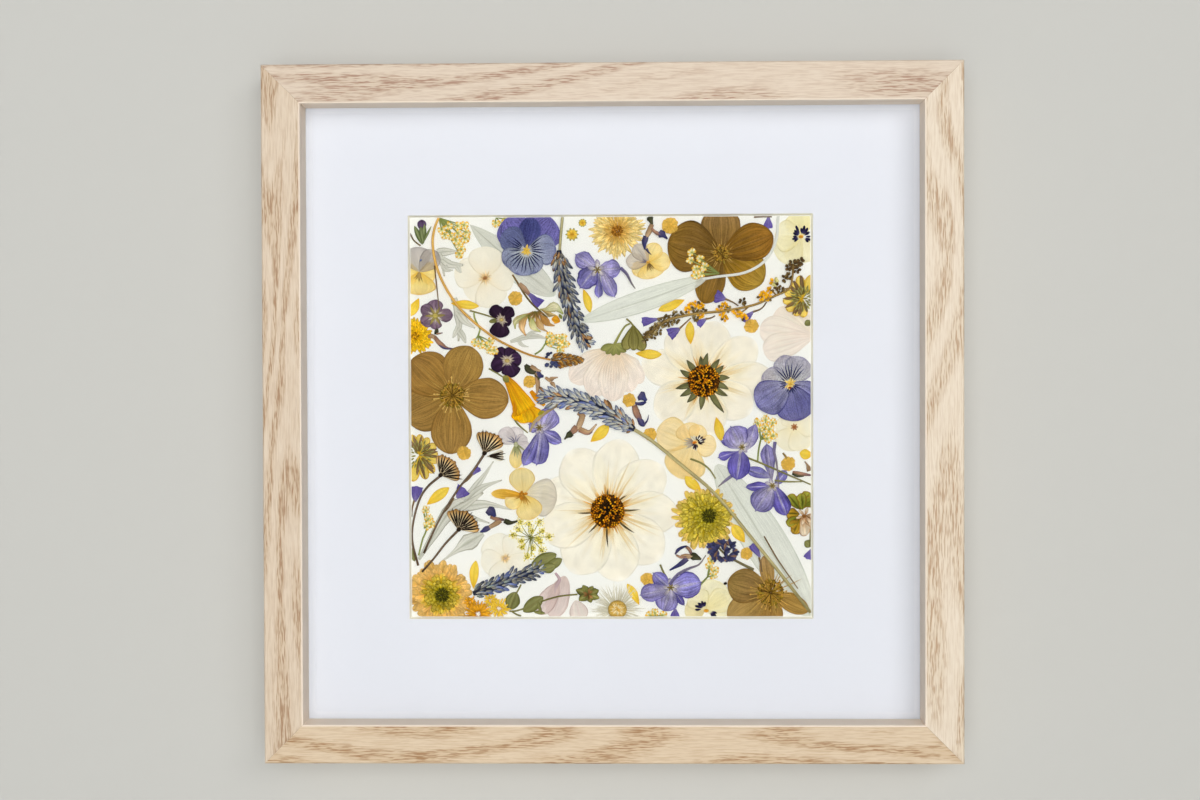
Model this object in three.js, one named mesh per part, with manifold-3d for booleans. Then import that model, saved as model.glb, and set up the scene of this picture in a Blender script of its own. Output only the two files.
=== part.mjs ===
// Pressed flower frame: a square oak-toned picture frame with a glazed front, a window mat and
// dried flowers pressed flat between the glass and a mount sheet.
//
// Millimetres, +Z up. The frame hangs on a wall: its front faces -Y, the backs of its rails lie
// on the wall plane y = 0, and the origin is where the wall hook meets the hanger.

import * as THREE from 'three';
import { mergeVertices } from 'three/addons/utils/BufferGeometryUtils.js';
import Module from 'manifold-3d';

const wasm = await Module();
wasm.setup();

// ---- Driving dimensions -------------------------------------------------------------------

const SIGHT = 291.0; // clear opening between the rails
const RAIL_FACE = 18.1; // width of a rail seen from the front
const FRAME_DEPTH = 28.0; // wall to front face
const ARRIS = 0.6; // small chamfer along the front edges
const REBATE = 7.0; // how far a rail laps over the glass
const LIP_DEPTH = 15.3; // front face to the glass
const MITRE_GAP = 0.05; // hairline left at each side of a mitre
const SEAT_GAP = 0.05; // hairline between pieces that lie on each other

const PANE_CLEARANCE = 0.5; // pane edge to rebate wall
const GLASS = 2.0;
const MAT = 1.6;
const SHEET = 0.5;
const BOARD = 3.0;

const WINDOW = 191.0; // flower window, at the sheet
const BEVEL = 0.8; // how far the mat's cut slopes back
const WINDOW_OFF_X = -1.0; // the window sits a little left of and below the frame's centre
const WINDOW_OFF_Z = -1.8;

const PETAL = 0.25; // pressed thickness of a specimen
const LAYER = 0.35; // step from one layer of specimens to the next
const FIRST_LAYER = 0.1; // sheet to the lowest layer
const TRIM = 0.3; // specimens are trimmed this far inside the window
const HEART_SIDES = 14;

const HOOK_HEIGHT = 136.0; // frame centre to the hanger's middle notch
const HANGER_LENGTH = 45.0;
const HANGER_HEIGHT = 9.0;
const HANGER_PLATE = 0.8;
const HANGER_FOOT = 9.0; // flat end that is riveted to the board
const HANGER_RAMP = 2.5;
const HANGER_RISE = 2.2; // how far the raised middle stands off the board
const HANGER_TEETH = 9;
const TOOTH_PITCH = 2.4;
const NOTCH_WIDTH = 2.16;
const NOTCH_DEPTH = 1.8;
const RIVET_RADIUS = 2.3;
const RIVET_RISE = 0.56; // rivet head above its foot

const TAB_WIDTH = 9.0;
const TAB_LENGTH = 16.0;
const TAB_PLATE = 0.5;
const TAB_BITE = 4.0; // how far a tab is driven into its rail
const TABS = { top: [-74, 74], right: [0], bottom: [0], left: [0] }; // places along each rail
const SLOT_CLEARANCE = 0.2;

// ---- Positions worked out from them -------------------------------------------------------

const OUTER = SIGHT + 2 * RAIL_FACE;
const PANE = SIGHT + 2 * REBATE - 2 * PANE_CLEARANCE;
const LIP_BACK = LIP_DEPTH - FRAME_DEPTH;
const GLASS_BACK = LIP_BACK + SEAT_GAP + GLASS;
const MAT_BACK = GLASS_BACK + SEAT_GAP + MAT;
const SHEET_FRONT = MAT_BACK + SEAT_GAP;
const SHEET_BACK = SHEET_FRONT + SHEET;
const BOARD_BACK = SHEET_BACK + SEAT_GAP + BOARD;

// ---- Materials ----------------------------------------------------------------------------

const finish = (color, roughness, metalness = 0) =>
  new THREE.MeshStandardMaterial({ color, roughness, metalness });

const oak = finish(0xdfcbac, 0.55);
const clear = finish(0xe8f0ee, 0.05);
const matBoard = finish(0xe6e7ee, 0.9);
const paper = finish(0xf5f3ec, 0.9);
const fibreboard = finish(0x9a7a55, 0.8);
const zinc = finish(0xb8b8b4, 0.4, 1);
const tone = (color) => finish(color, 0.75);

// ---- Solids: joining and cutting ----------------------------------------------------------

function solidOf(geometry) {
  const bare = geometry.clone();
  bare.deleteAttribute('normal');
  bare.deleteAttribute('uv');
  const merged = mergeVertices(bare, 1e-4);
  return new wasm.Manifold(new wasm.Mesh({
    numProp: 3,
    vertProperties: merged.attributes.position.array,
    triVerts: Uint32Array.from(merged.index.array),
  }));
}

// The joined or cut solid as a geometry, without the creases left inside its flat faces.
function geometryOf(solid) {
  const { vertProperties, triVerts } = solid.asOriginal().simplify(0.002).getMesh();
  const geometry = new THREE.BufferGeometry();
  geometry.setAttribute('position', new THREE.BufferAttribute(vertProperties, 3));
  geometry.setIndex(new THREE.BufferAttribute(triVerts, 1));
  geometry.computeVertexNormals();
  return geometry;
}

const joined = (geometries) => geometries.map(solidOf).reduce((sum, next) => sum.add(next));

function box(sizeX, sizeY, sizeZ, x, y, z) {
  return new THREE.BoxGeometry(sizeX, sizeY, sizeZ).translate(x, y, z);
}

// A closed outline in the plane of the frame, made solid from y = 0 forward to y = -thickness.
function plate(points, thickness) {
  const shape = new THREE.Shape(points);
  const geometry = new THREE.ExtrudeGeometry(shape, { depth: thickness, bevelEnabled: false });
  return geometry.rotateX(Math.PI / 2);
}

const point = (x, z) => new THREE.Vector2(x, z);

const square = (half) => [
  point(-half, -half), point(half, -half), point(half, half), point(-half, half),
];

function disc(radius, sides, x = 0, z = 0) {
  return Array.from({ length: sides }, (_, i) => {
    const turn = (2 * Math.PI * i) / sides;
    return point(x + radius * Math.cos(turn), z + radius * Math.sin(turn));
  });
}

// ---- The frame ----------------------------------------------------------------------------

// One rail, lying along the top: an L-section swept between two mitres. The section is given
// as [distance in from the outer edge, y], and each mitre shortens the rail by that distance.
function railGeometry() {
  const section = [
    [0, 0],
    [0, ARRIS - FRAME_DEPTH],
    [ARRIS, -FRAME_DEPTH],
    [RAIL_FACE - ARRIS, -FRAME_DEPTH],
    [RAIL_FACE, ARRIS - FRAME_DEPTH],
    [RAIL_FACE, LIP_BACK],
    [RAIL_FACE - REBATE, LIP_BACK],
    [RAIL_FACE - REBATE, 0],
  ];
  const shape = new THREE.Shape(section.map(([inward, y]) => point(inward, y)));
  const geometry = new THREE.ExtrudeGeometry(shape, { depth: 1, bevelEnabled: false });
  const place = geometry.attributes.position;
  for (let i = 0; i < place.count; i += 1) {
    const inward = place.getX(i);
    const half = OUTER / 2 - inward - MITRE_GAP;
    const end = place.getZ(i) > 0.5 ? half : -half;
    place.setXYZ(i, end, place.getY(i), OUTER / 2 - inward);
  }
  return geometry;
}

const tabMiddle = BOARD_BACK + SEAT_GAP + TAB_PLATE / 2;

function railMesh(name, turn, tabPlaces) {
  let rail = solidOf(railGeometry());
  for (const along of tabPlaces) {
    const bite = TAB_BITE + SLOT_CLEARANCE;
    const slot = box(
      TAB_WIDTH + 2 * SLOT_CLEARANCE, TAB_PLATE + 2 * SLOT_CLEARANCE, bite + 1,
      along, tabMiddle, OUTER / 2 - RAIL_FACE + REBATE + (bite - 1) / 2,
    );
    rail = rail.subtract(solidOf(slot));
  }
  const mesh = new THREE.Mesh(geometryOf(rail), oak);
  mesh.name = name;
  mesh.rotation.y = turn;
  return mesh;
}

function paneMesh(name, material, front, thickness) {
  const mesh = new THREE.Mesh(plate(square(PANE / 2), thickness), material);
  mesh.name = name;
  mesh.position.y = front + thickness;
  return mesh;
}

// The mat's window is cut on a slope: the opening is wider at the mat's face than at its back.
function matMesh() {
  const cut = new THREE.BoxGeometry(1, MAT + 0.2, 1);
  const place = cut.attributes.position;
  const slope = BEVEL / MAT;
  for (let i = 0; i < place.count; i += 1) {
    const forward = MAT / 2 - place.getY(i);
    const half = WINDOW / 2 + slope * forward;
    place.setXYZ(
      i,
      WINDOW_OFF_X + Math.sign(place.getX(i)) * half,
      place.getY(i) - MAT / 2,
      WINDOW_OFF_Z + Math.sign(place.getZ(i)) * half,
    );
  }
  const board = solidOf(plate(square(PANE / 2), MAT)).subtract(solidOf(cut));
  const mesh = new THREE.Mesh(geometryOf(board), matBoard);
  mesh.name = 'window_mat';
  mesh.position.y = MAT_BACK;
  return mesh;
}

// A flat steel tab, round at its free end, driven into the rebate wall over the back board.
function tabMesh(name, turn, along) {
  const outerEnd = OUTER / 2 - RAIL_FACE + REBATE + TAB_BITE;
  const half = TAB_WIDTH / 2;
  const roundAt = outerEnd - TAB_LENGTH + half;
  const outline = [point(half, outerEnd), point(-half, outerEnd)];
  const steps = 8;
  for (let i = 0; i <= steps; i += 1) {
    const angle = Math.PI + (Math.PI * i) / steps;
    outline.push(point(half * Math.cos(angle), roundAt + half * Math.sin(angle)));
  }
  const mesh = new THREE.Mesh(plate(outline, TAB_PLATE).translate(along, 0, 0), zinc);
  mesh.name = name;
  mesh.rotation.y = turn;
  mesh.position.y = tabMiddle + TAB_PLATE / 2;
  return mesh;
}

// A sawtooth hanger: a strip with flat ends, a raised middle and teeth along its lower edge.
function hangerMesh() {
  const half = HANGER_LENGTH / 2;
  const rampFoot = half - HANGER_FOOT;
  const rampTop = rampFoot - HANGER_RAMP;
  const strip = [
    [-half, 0],
    [-rampFoot, 0],
    [-rampTop, HANGER_RISE],
    [rampTop, HANGER_RISE],
    [rampFoot, 0],
    [half, 0],
  ];
  const top = strip.map(([x, y]) => point(x, y + HANGER_PLATE));
  const shape = new THREE.Shape([...strip.map(([x, y]) => point(x, y)), ...top.reverse()]);
  const bent = new THREE.ExtrudeGeometry(shape, { depth: HANGER_HEIGHT, bevelEnabled: false });
  let hanger = solidOf(bent.translate(0, 0, -HANGER_HEIGHT / 2));
  const edge = -HANGER_HEIGHT / 2;
  for (let i = 0; i < HANGER_TEETH; i += 1) {
    const x = (i - (HANGER_TEETH - 1) / 2) * TOOTH_PITCH;
    const notch = plate([
      point(x - NOTCH_WIDTH / 2, edge - NOTCH_DEPTH),
      point(x - NOTCH_WIDTH / 2, edge),
      point(x, edge + NOTCH_DEPTH),
      point(x + NOTCH_WIDTH / 2, edge),
      point(x + NOTCH_WIDTH / 2, edge - NOTCH_DEPTH),
    ], 2 * HANGER_RISE);
    hanger = hanger.subtract(solidOf(notch.translate(0, 2 * HANGER_RISE, 0)));
  }
  for (const side of [-1, 1]) {
    const outline = disc(RIVET_RADIUS, 12, side * (half - HANGER_FOOT / 2), 0);
    const head = plate(outline, HANGER_PLATE).translate(0, HANGER_PLATE + RIVET_RISE, 0);
    hanger = hanger.add(solidOf(head));
  }
  const mesh = new THREE.Mesh(geometryOf(hanger), zinc);
  mesh.name = 'sawtooth_hanger';
  const notchTop = edge + NOTCH_DEPTH;
  mesh.position.set(0, BOARD_BACK + SEAT_GAP, HOOK_HEIGHT - notchTop);
  return mesh;
}

// ---- Specimen shapes, in the plane of the sheet --------------------------------------------

const radians = THREE.MathUtils.degToRad;

// A petal or leaf from its base at [dx, dz], `turn` degrees round from +X. `widest` is where
// along it the greatest width lies and `blunt` shapes its ends: 1 pointed, 0.4 nearly square.
function petal([turn, length, width, dx = 0, dz = 0, widest = 0.62, blunt = 0.55], steps = 6) {
  const skew = Math.log(0.5) / Math.log(widest);
  const outline = [point(0, 0)];
  const far = [point(length, 0)];
  for (let i = 1; i < steps; i += 1) {
    const t = 0.5 - 0.5 * Math.cos((Math.PI * i) / steps);
    const half = (width / 2) * Math.sin(Math.PI * t ** skew) ** blunt;
    outline.push(point(length * t, -half));
    far.push(point(length * (1 - t), (width / 2) * Math.sin(Math.PI * (1 - t) ** skew) ** blunt));
  }
  const centre = point(0, 0);
  return [...outline, ...far].map((p) => p.rotateAround(centre, radians(turn)).add(point(dx, dz)));
}

// A band along a smooth line through `line`; its half-width at t in 0..1 is given by `half`.
function band(line, half, steps = 10) {
  const curve = new THREE.CatmullRomCurve3(line.map(([x, z]) => new THREE.Vector3(x, z, 0)));
  const left = [];
  const right = [];
  for (let i = 0; i <= steps; i += 1) {
    const t = i / steps;
    const at = curve.getPoint(t);
    const along = curve.getTangent(t);
    const reach = half(t, i);
    left.push(point(at.x - along.y * reach, at.y + along.x * reach));
    right.push(point(at.x + along.y * reach, at.y - along.x * reach));
  }
  return [...left, ...right.reverse()];
}

const stalk = (line, width, steps = 8) => band(line, () => width / 2, steps);

// A flower spike: a spindle along `line` with buds that stand out from it in steps.
const spike = (line, width, steps = 14) => band(line, (t, i) => {
  const spindle = Math.sin(Math.PI * (0.12 + 0.8 * t)) ** 0.6;
  return (width / 2) * spindle * (i % 2 ? 1 : 0.72);
}, steps);

// A round head of `rays` petals whose tips lie on a circle.
function rayed(radius, rays, notch = 0.86, x = 0, z = 0) {
  return Array.from({ length: 2 * rays }, (_, i) => {
    const turn = (Math.PI * i) / rays;
    const reach = radius * (i % 2 ? notch : 1);
    return point(x + reach * Math.cos(turn), z + reach * Math.sin(turn));
  });
}

// A dried seed head seen from the side: a fan of bracts from `first` to `last` degrees.
function fan([dx, dz], first, last, radius, bracts = 6) {
  const outline = [point(dx, dz)];
  for (let i = 0; i <= 2 * bracts; i += 1) {
    const turn = radians(first + ((last - first) * i) / (2 * bracts));
    const reach = radius * (i % 2 ? 0.88 : 1);
    outline.push(point(dx + reach * Math.cos(turn), dz + reach * Math.sin(turn)));
  }
  return outline;
}

const free = (pairs) => pairs.map(([x, z]) => point(x, z));

// ---- Specimens ------------------------------------------------------------------------------

// The window's own group: x to the right, z up from the window's centre, y = 0 on the sheet.
const bouquet = new THREE.Group();
bouquet.position.set(WINDOW_OFF_X, SHEET_FRONT, WINDOW_OFF_Z);

// One specimen: outlines around its own centre, fused into one thin solid, lifted to its layer
// and trimmed where the mat's edge crosses it. `heart` is [radius, thickness] of a raised centre.
function specimen(name, [x, z], layer, color, outlines, heart = null) {
  const base = FIRST_LAYER + layer * LAYER;
  const solids = outlines.map((outline) => plate(outline, PETAL));
  if (heart) {
    const [radius, thickness] = heart;
    solids.push(plate(disc(radius, HEART_SIDES), thickness));
  }
  let solid = joined(solids);
  const reach = WINDOW / 2 - TRIM;
  if (outlines.flat().some((p) => Math.abs(p.x + x) > reach || Math.abs(p.y + z) > reach)) {
    solid = solid.intersect(solidOf(box(2 * reach, FRAME_DEPTH, 2 * reach, -x, 0, -z)));
  }
  const mesh = new THREE.Mesh(geometryOf(solid), tone(color));
  mesh.name = name;
  mesh.position.set(x, -base, z);
  bouquet.add(mesh);
}

const EYE = [2, PETAL]; // the flat middle where a flower's petals meet
const petals = (list, steps = 6) => list.map((one) => petal(one, steps));

// Large brown hellebores.
specimen('hellebore_left', [-75.5, 10.5], 1, 0xa9843c, petals([
  [138, 26, 23], [69, 25, 19.5], [355, 27, 20], [268, 28, 19.5], [205, 25, 22],
], 7), [6.5, 0.7]);
specimen('hellebore_top', [53, 77.5], 1, 0x8a5e24, petals([
  [167, 26, 25], [91, 22, 19], [20, 26, 18], [325, 24, 19], [250, 25, 14],
], 7), [4.5, 0.7]);
specimen('hellebore_low', [76, -84], 1, 0x96713a, petals([
  [165, 21, 17], [214, 24, 15], [262, 16, 15], [334, 20, 9], [99, 18, 7],
], 7), [6, 0.7]);

// White and cream cosmos, each with a domed disc and thin bracts behind it.
specimen('cosmos_centre', [-1.5, -45], 0, 0xf3ecd6, petals([
  [162, 33, 22], [122, 34, 24], [79, 35, 23], [39, 34, 23], [357, 34, 21],
  [318, 34, 23], [280, 34, 23], [240, 34, 24], [200, 33, 22],
], 6), [8.5, 1.3]);
specimen('cosmos_right', [44.5, 17], 0, 0xf2e8cc, petals([
  [162, 31, 18], [122, 29, 19], [78, 29, 20], [37, 31, 18], [2, 34, 17],
  [326, 27, 19], [276, 26, 20], [216, 28, 20],
], 6), [8, 1.3]);

// Many-petalled heads.
specimen('chrysanthemum_left', [-82, -84.5], 1, 0xb9963a, [rayed(16.5, 18)], [6, 1.0]);
specimen('chrysanthemum_right', [44.2, -48.5], 1, 0xa88f22, [rayed(15.6, 18)], [6, 1.0]);
specimen('aster_top', [3.5, 88.5], 0, 0xd9a53c, [rayed(13.2, 22, 0.8)], [4.5, 0.8]);
specimen('aster_left', [-93, 39], 0, 0xe2b21c, [rayed(8.4, 18, 0.85)], [6, 0.8]);
specimen('daisy_left', [-91.5, -18], 0, 0xcdb23c, petals([
  [112, 10.5, 4], [88, 10, 4], [62, 9.5, 4], [32, 9.5, 4.5], [4, 9, 4], [340, 9.5, 4],
  [310, 11, 4.5], [286, 12, 4.5], [255, 13, 5],
], 4), [5.5, 0.8]);
specimen('daisy_right', [91.5, 56], 2, 0xdcae22, petals([
  [68, 12, 4.5], [98, 11, 4.5], [125, 9, 4.5], [160, 9, 4], [188, 9.5, 4], [216, 9.5, 4.5],
  [246, 9, 4.5], [272, 9, 4.5],
], 4), [4, 0.6]);
specimen('daisy_white', [3, -92], 1, 0xe6e4d4, [rayed(12.5, 16, 0.8)], [5, 0.9]);

// Pansies.
specimen('pansy_blue', [-39.8, 79.5], 2, 0x4d5288, petals([
  [112, 19, 18], [52, 19, 19], [158, 13, 14.5], [354, 14.5, 16, 0, 0, 0.6], [196, 12, 12],
  [262, 11.8, 18, 0, 0, 0.6],
], 7), EYE);
specimen('pansy_left', [-91, 69.5], 1, 0xe9c766, petals([
  [100, 12, 14], [48, 13, 10], [355, 8, 11], [190, 6, 10], [268, 11, 16],
]), EYE);
specimen('pansy_right', [85.5, 15.5], 2, 0x6c6a9c, petals([
  [104, 14, 12], [62, 14, 14], [165, 14, 12], [214, 19, 17], [284, 18, 19], [330, 14, 12],
], 7), EYE);
specimen('pansy_cream_top', [91, 85], 0, 0xeee2b2, petals([
  [100, 12, 14], [175, 12.5, 16], [225, 15, 16], [275, 12, 18],
]), EYE);
specimen('pansy_cream_low', [45, -92], 0, 0xefe3bd, petals([
  [125, 10, 12], [60, 15, 17], [10, 12, 14], [190, 10, 11], [30, 14, 12],
]), EYE);
specimen('pansy_yellow', [39, -12.5], 1, 0xf0dca2, petals([
  [158, 18, 17], [110, 10, 12], [62, 9.5, 9], [350, 11.5, 11], [250, 18, 20],
]), EYE);

// Violas.
specimen('viola_purple', [-83.5, 48.5], 1, 0x5f4168, petals([
  [88, 7.8, 7.5], [146, 8, 6.5], [207, 7.6, 6.5], [3, 8.5, 7], [272, 6.5, 6],
]), [2.4, 0.45]);
specimen('viola_dark_top', [-51.8, 46.5], 2, 0x32202f, petals([
  [122, 8, 6.8], [48, 7.8, 6.2], [262, 8.6, 9.6], [350, 5, 5], [188, 6, 2.2],
]), EYE);
specimen('viola_dark_low', [-49.2, 27], 1, 0x3c2440, petals([
  [128, 7.6, 6.6], [68, 6.8, 6.2], [206, 8.4, 7.2], [12, 7, 7.2], [292, 8.4, 8.4],
]), EYE);
specimen('viola_grey', [18.2, 73.6], 1, 0xdcc890, petals([
  [176, 10.6, 8], [128, 10.4, 8], [64, 10, 8.5], [2, 10.6, 9], [284, 8, 13], [218, 9, 8],
]), EYE);
specimen('viola_gold', [-41.6, -37], 1, 0xe2c474, petals([
  [96, 13, 12.5], [352, 16, 18], [290, 12.5, 13], [212, 10, 8], [178, 15.5, 5],
]), EYE);
specimen('viola_pale', [-45.2, -12.5], 0, 0xc8c0b0, petals([
  [142, 10, 9], [95, 8, 8], [30, 6, 6], [330, 7, 7], [270, 12, 6.4],
]), EYE);

// Pale, nearly see-through blossoms.
specimen('phlox_cream', [-59.6, 66.5], 1, 0xf1ead2, petals([
  [88, 15, 17], [165, 15, 15], [232, 12.5, 13], [288, 14.5, 16], [14, 14, 18],
]), EYE);
specimen('blossom_pale', [-50.5, -67.5], 0, 0xf2ead0, petals([
  [130, 13, 15], [50, 12, 14], [195, 12, 13], [262, 12, 14], [335, 12, 12],
]), EYE);
specimen('blossom_pink', [97, 38], 1, 0xeaded2, petals([
  [196, 24, 17], [166, 26, 19], [135, 16, 14],
]), EYE);

// Larkspurs, each petal from its own base.
specimen('larkspur_top', [-6, 70], 3, 0x6a58a4, petals([
  [144, 12.5, 8.5, 0, 0, 0.62, 0.7], [4, 11, 9, 0, 0, 0.6, 0.5], [232, 13, 10, 0, 2],
  [296, 14, 7, 2, 0], [268, 13, 4, 1, 0, 0.8],
]), EYE);
specimen('larkspur_middle', [-33, -6], 1, 0x6457a6, petals([
  [62, 12, 11, 0, -1], [330, 12, 6, -1, 0], [262, 16.5, 11.5, 0, 0, 0.66, 0.45],
  [245, 17.5, 6, -1, -1, 0.7], [165, 6, 7, 0, 1],
]), EYE);
specimen('larkspur_upper', [62, -15], 2, 0x5c52a2, petals([
  [115, 11, 13, 0, 0, 0.55], [72, 13, 6.5, 3, -1, 0.55, 0.8], [160, 10, 3, 0, 0],
  [198, 11, 4.5, 0, -1, 0.8], [262, 14, 11.5, 0, -1, 0.55],
]), EYE);
specimen('larkspur_lower', [77, -32], 1, 0x5e54a8, petals([
  [98, 19, 7, 0, 0, 0.7, 0.7], [162, 13, 5.5, 0, 3], [183, 12.5, 4.5, 0, -1],
  [236, 14, 12, 0, -1, 0.6], [292, 15, 8, 1, -1, 0.6], [52, 9, 5, 1, -1],
]), EYE);
specimen('larkspur_low', [28.5, -82], 1, 0x5b52a0, petals([
  [12, 14.5, 13, 0, 0, 0.6, 0.45], [192, 14.5, 9, 0, 0, 0.62, 0.45], [138, 11, 6.5, 0, 0],
  [252, 11, 11.5, 0, 0, 0.6, 0.45], [304, 9.5, 3.5, 1, 0],
]), EYE);

// Lavender heads on their stalks.
specimen('lavender_top', [0, 0], 3, 0x6c6e8c, [
  stalk([[-22.5, 95], [-23.4, 86], [-24, 79]], 0.9, 3),
  spike([[-24.2, 80], [-23.5, 72], [-22, 64], [-20, 56], [-17.5, 48], [-14.5, 40], [-9, 32.5]], 9.5, 16),
]);
specimen('lavender_middle', [0, 0], 3, 0x6e7290, [
  stalk([[10, -5.2], [20, -11.6], [35, -24], [50, -37], [66, -56.5], [82, -76.5], [94, -92]], 1.2, 10),
  spike([[12, -6], [5, -1.5], [-2, 2.5], [-10, 5.5], [-18, 8], [-26, 9], [-35.5, 9.8]], 9.5, 16),
]);
specimen('lavender_low', [0, 0], 2, 0x5a5c84, [
  spike([[-67, -84.5], [-58, -81.2], [-50, -78.2], [-42, -75.2], [-31.5, -72]], 9, 14),
]);

// Bells, leaves and seed heads.
specimen('bell_orange', [0, 0], 2, 0xeab518, [free([
  [-51.6, 19], [-48, 19.4], [-42, 15.6], [-36, 10.4], [-33.4, 7.9], [-30.4, 5.6], [-31, 2],
  [-33.4, -0.2], [-37.4, 0.2], [-40.6, -1.8], [-44.4, -0.8], [-46.6, 0.6], [-45.4, 5.6],
  [-48.4, 10.6], [-51.4, 16.6],
])]);
specimen('bell_pink', [2, 32.5], 1, 0xece0d4, petals([
  [216, 26, 15], [243, 25, 15], [268, 25, 15], [292, 22, 13], [309, 21, 10],
  [188, 7, 3.4], [350, 6.5, 3.4], [70, 13, 1.2],
]), EYE);
specimen('leaf_silver_top', [-66.6, 91.8], 0, 0xd4d6c9, petals([[318.5, 52.5, 14.5, 0, 0, 0.6]], 9));
specimen('leaf_silver_long', [46, 66], 2, 0xd2d6ca, [
  petal([199.5, 63, 10.5, 0, 0, 0.5], 9),
  stalk([[-1, -0.3], [6, 0.7], [16, 1.9], [23, 4.6], [29, 9.5], [33, 18], [34, 29]], 1, 9),
]);
specimen('leaf_silver_right', [50.5, -23], 0, 0xd5d7cb, petals([[302, 86, 20.5, 0, 0, 0.5, 0.5]], 9));
specimen('leaf_heart', [11, 44.2], 2, 0x5c5a2f, [
  ...petals([[248, 13, 7, 0, 0, 0.7], [271, 12.5, 6, 0, 0, 0.7], [294, 14, 7.5, 0, 0, 0.7]]),
  stalk([[-3.3, 2.6], [-1, 0.6], [0.2, -1.2]], 0.8, 3),
]);
specimen('seed_head_upper', [-60.6, -17.4], 2, 0x7a5f40, [
  fan([0, 0], 24, 108, 11.5), fan([1.4, -1.2], -14, 16, 8.6, 3), disc(2.4, 8),
  stalk([[0.4, 0], [-5, -8], [-12, -16.5], [-20, -29], [-26, -41], [-28.8, -47.5]], 0.9, 8),
]);
specimen('seed_head_middle', [-81.6, -27.8], 2, 0x7a5f40, [
  fan([0, 0], -14, 98, 10, 7),
  stalk([[0.4, 0], [-5.6, -5], [-9.6, -11], [-12.6, -21], [-13.4, -31], [-10.6, -43]], 0.9, 8),
]);
specimen('seed_head_lower', [-73, -53.8], 2, 0x7a5f40, [
  fan([0, 0], -4, 122, 10, 7),
  stalk([[0.4, 0.2], [-6, -6.4], [-12, -14], [-17.4, -20]], 0.9, 4),
]);

// Long stalks: one that ends in a brown spike, and a twig strung with orange florets.
specimen('stalk_ochre', [0, 0], 3, 0xd09a3a, [
  stalk([
    [-81.6, 95], [-83.6, 90], [-84.5, 83], [-83, 73], [-79, 63], [-72.5, 53], [-65, 45.5],
    [-55, 37.8], [-46, 33], [-38, 29.6], [-28.5, 27.4],
  ], 1, 14),
  spike([[-30, 27.4], [-24, 27.4], [-18, 27.3], [-12.4, 27]], 7.4, 8),
]);
const twigBuds = [
  [[38.5, 52], [40, 49.2]], [[43.6, 51.6], [44, 49.4]], [[54.4, 52.4], [54.6, 50.2]],
  [[53.6, 47.6], [52, 50]], [[62, 49.4], [62, 51.6]], [[63, 54.2], [64, 52]], [[73, 57.4], [74, 55.4]],
  [[85, 71.2], [87, 71]], [[89.4, 71.6], [87, 71]], [[83, 66], [86.4, 64.8]], [[81.6, 60], [82, 58.6]],
  [[30.8, 48.2], [30, 46.8]], [[23.8, 44.6], [23, 43]], [[19.4, 40.2], [18.6, 39.8]],
];
specimen('twig_flowering', [0, 0], 3, 0x8a6a34, [
  stalk([
    [87, 72.5], [86.6, 66], [85, 60.6], [78, 57.2], [70, 53.6], [62, 51.6], [52, 50],
    [42, 49.2], [34, 47.8], [27, 46], [21, 41.6], [16, 37.6],
  ], 0.9, 14),
  ...twigBuds.flatMap(([bud, foot]) => [disc(1.9, 7, ...bud), stalk([bud, foot], 0.9, 1)]),
]);

// ---- Assembly -------------------------------------------------------------------------------

const picture = new THREE.Group();
picture.position.z = -HOOK_HEIGHT;
const QUARTER = Math.PI / 2;
Object.entries(TABS).forEach(([side, places], i) => {
  const turn = i * QUARTER;
  picture.add(railMesh(`rail_${side}`, turn, places));
  places.forEach((along, j) => picture.add(tabMesh(`tab_${side}_${j + 1}`, turn, along)));
});
picture.add(paneMesh('glazing', clear, LIP_BACK + SEAT_GAP, GLASS));
picture.add(matMesh());
picture.add(paneMesh('mount_sheet', paper, SHEET_FRONT, SHEET));
picture.add(paneMesh('back_board', fibreboard, SHEET_BACK + SEAT_GAP, BOARD));
picture.add(hangerMesh());
picture.add(bouquet);

const part = new THREE.Group();
part.add(picture);

export default part;
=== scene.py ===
"""Looks of the pressed flower frame: oak rails, mat, glass and dried specimens, built on the CAD frame."""

import math
from dataclasses import dataclass, replace

import bmesh
import bpy
import numpy as np
from bpy.props import FloatProperty, IntProperty, PointerProperty
from mathutils import Matrix, Vector


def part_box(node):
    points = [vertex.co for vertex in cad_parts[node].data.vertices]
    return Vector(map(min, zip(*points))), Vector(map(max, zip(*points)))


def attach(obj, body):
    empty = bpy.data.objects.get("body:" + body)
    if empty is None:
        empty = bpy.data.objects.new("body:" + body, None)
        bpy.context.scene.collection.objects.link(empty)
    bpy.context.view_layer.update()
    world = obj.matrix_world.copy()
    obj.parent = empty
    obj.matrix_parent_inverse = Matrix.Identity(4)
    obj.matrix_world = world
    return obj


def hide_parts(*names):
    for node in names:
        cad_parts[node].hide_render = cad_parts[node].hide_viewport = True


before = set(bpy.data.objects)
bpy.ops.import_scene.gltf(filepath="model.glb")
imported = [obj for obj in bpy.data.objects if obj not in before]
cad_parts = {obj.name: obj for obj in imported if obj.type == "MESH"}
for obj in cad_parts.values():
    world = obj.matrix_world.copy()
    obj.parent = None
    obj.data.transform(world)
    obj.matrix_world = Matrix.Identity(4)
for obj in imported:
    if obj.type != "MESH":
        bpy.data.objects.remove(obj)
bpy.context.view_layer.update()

bl_info = {
    "name": "Pressed flower frame",
    "version": (1, 0, 0),
    "blender": (4, 5, 0),
    "location": "3D View > Sidebar > Pressed flowers",
    "description": "Lays dried flowers in an oak frame and lights it on a wall",
    "category": "Object",
}

MM = 0.001

# ---- Places taken from the frame -----------------------------------------------------------------

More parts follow.
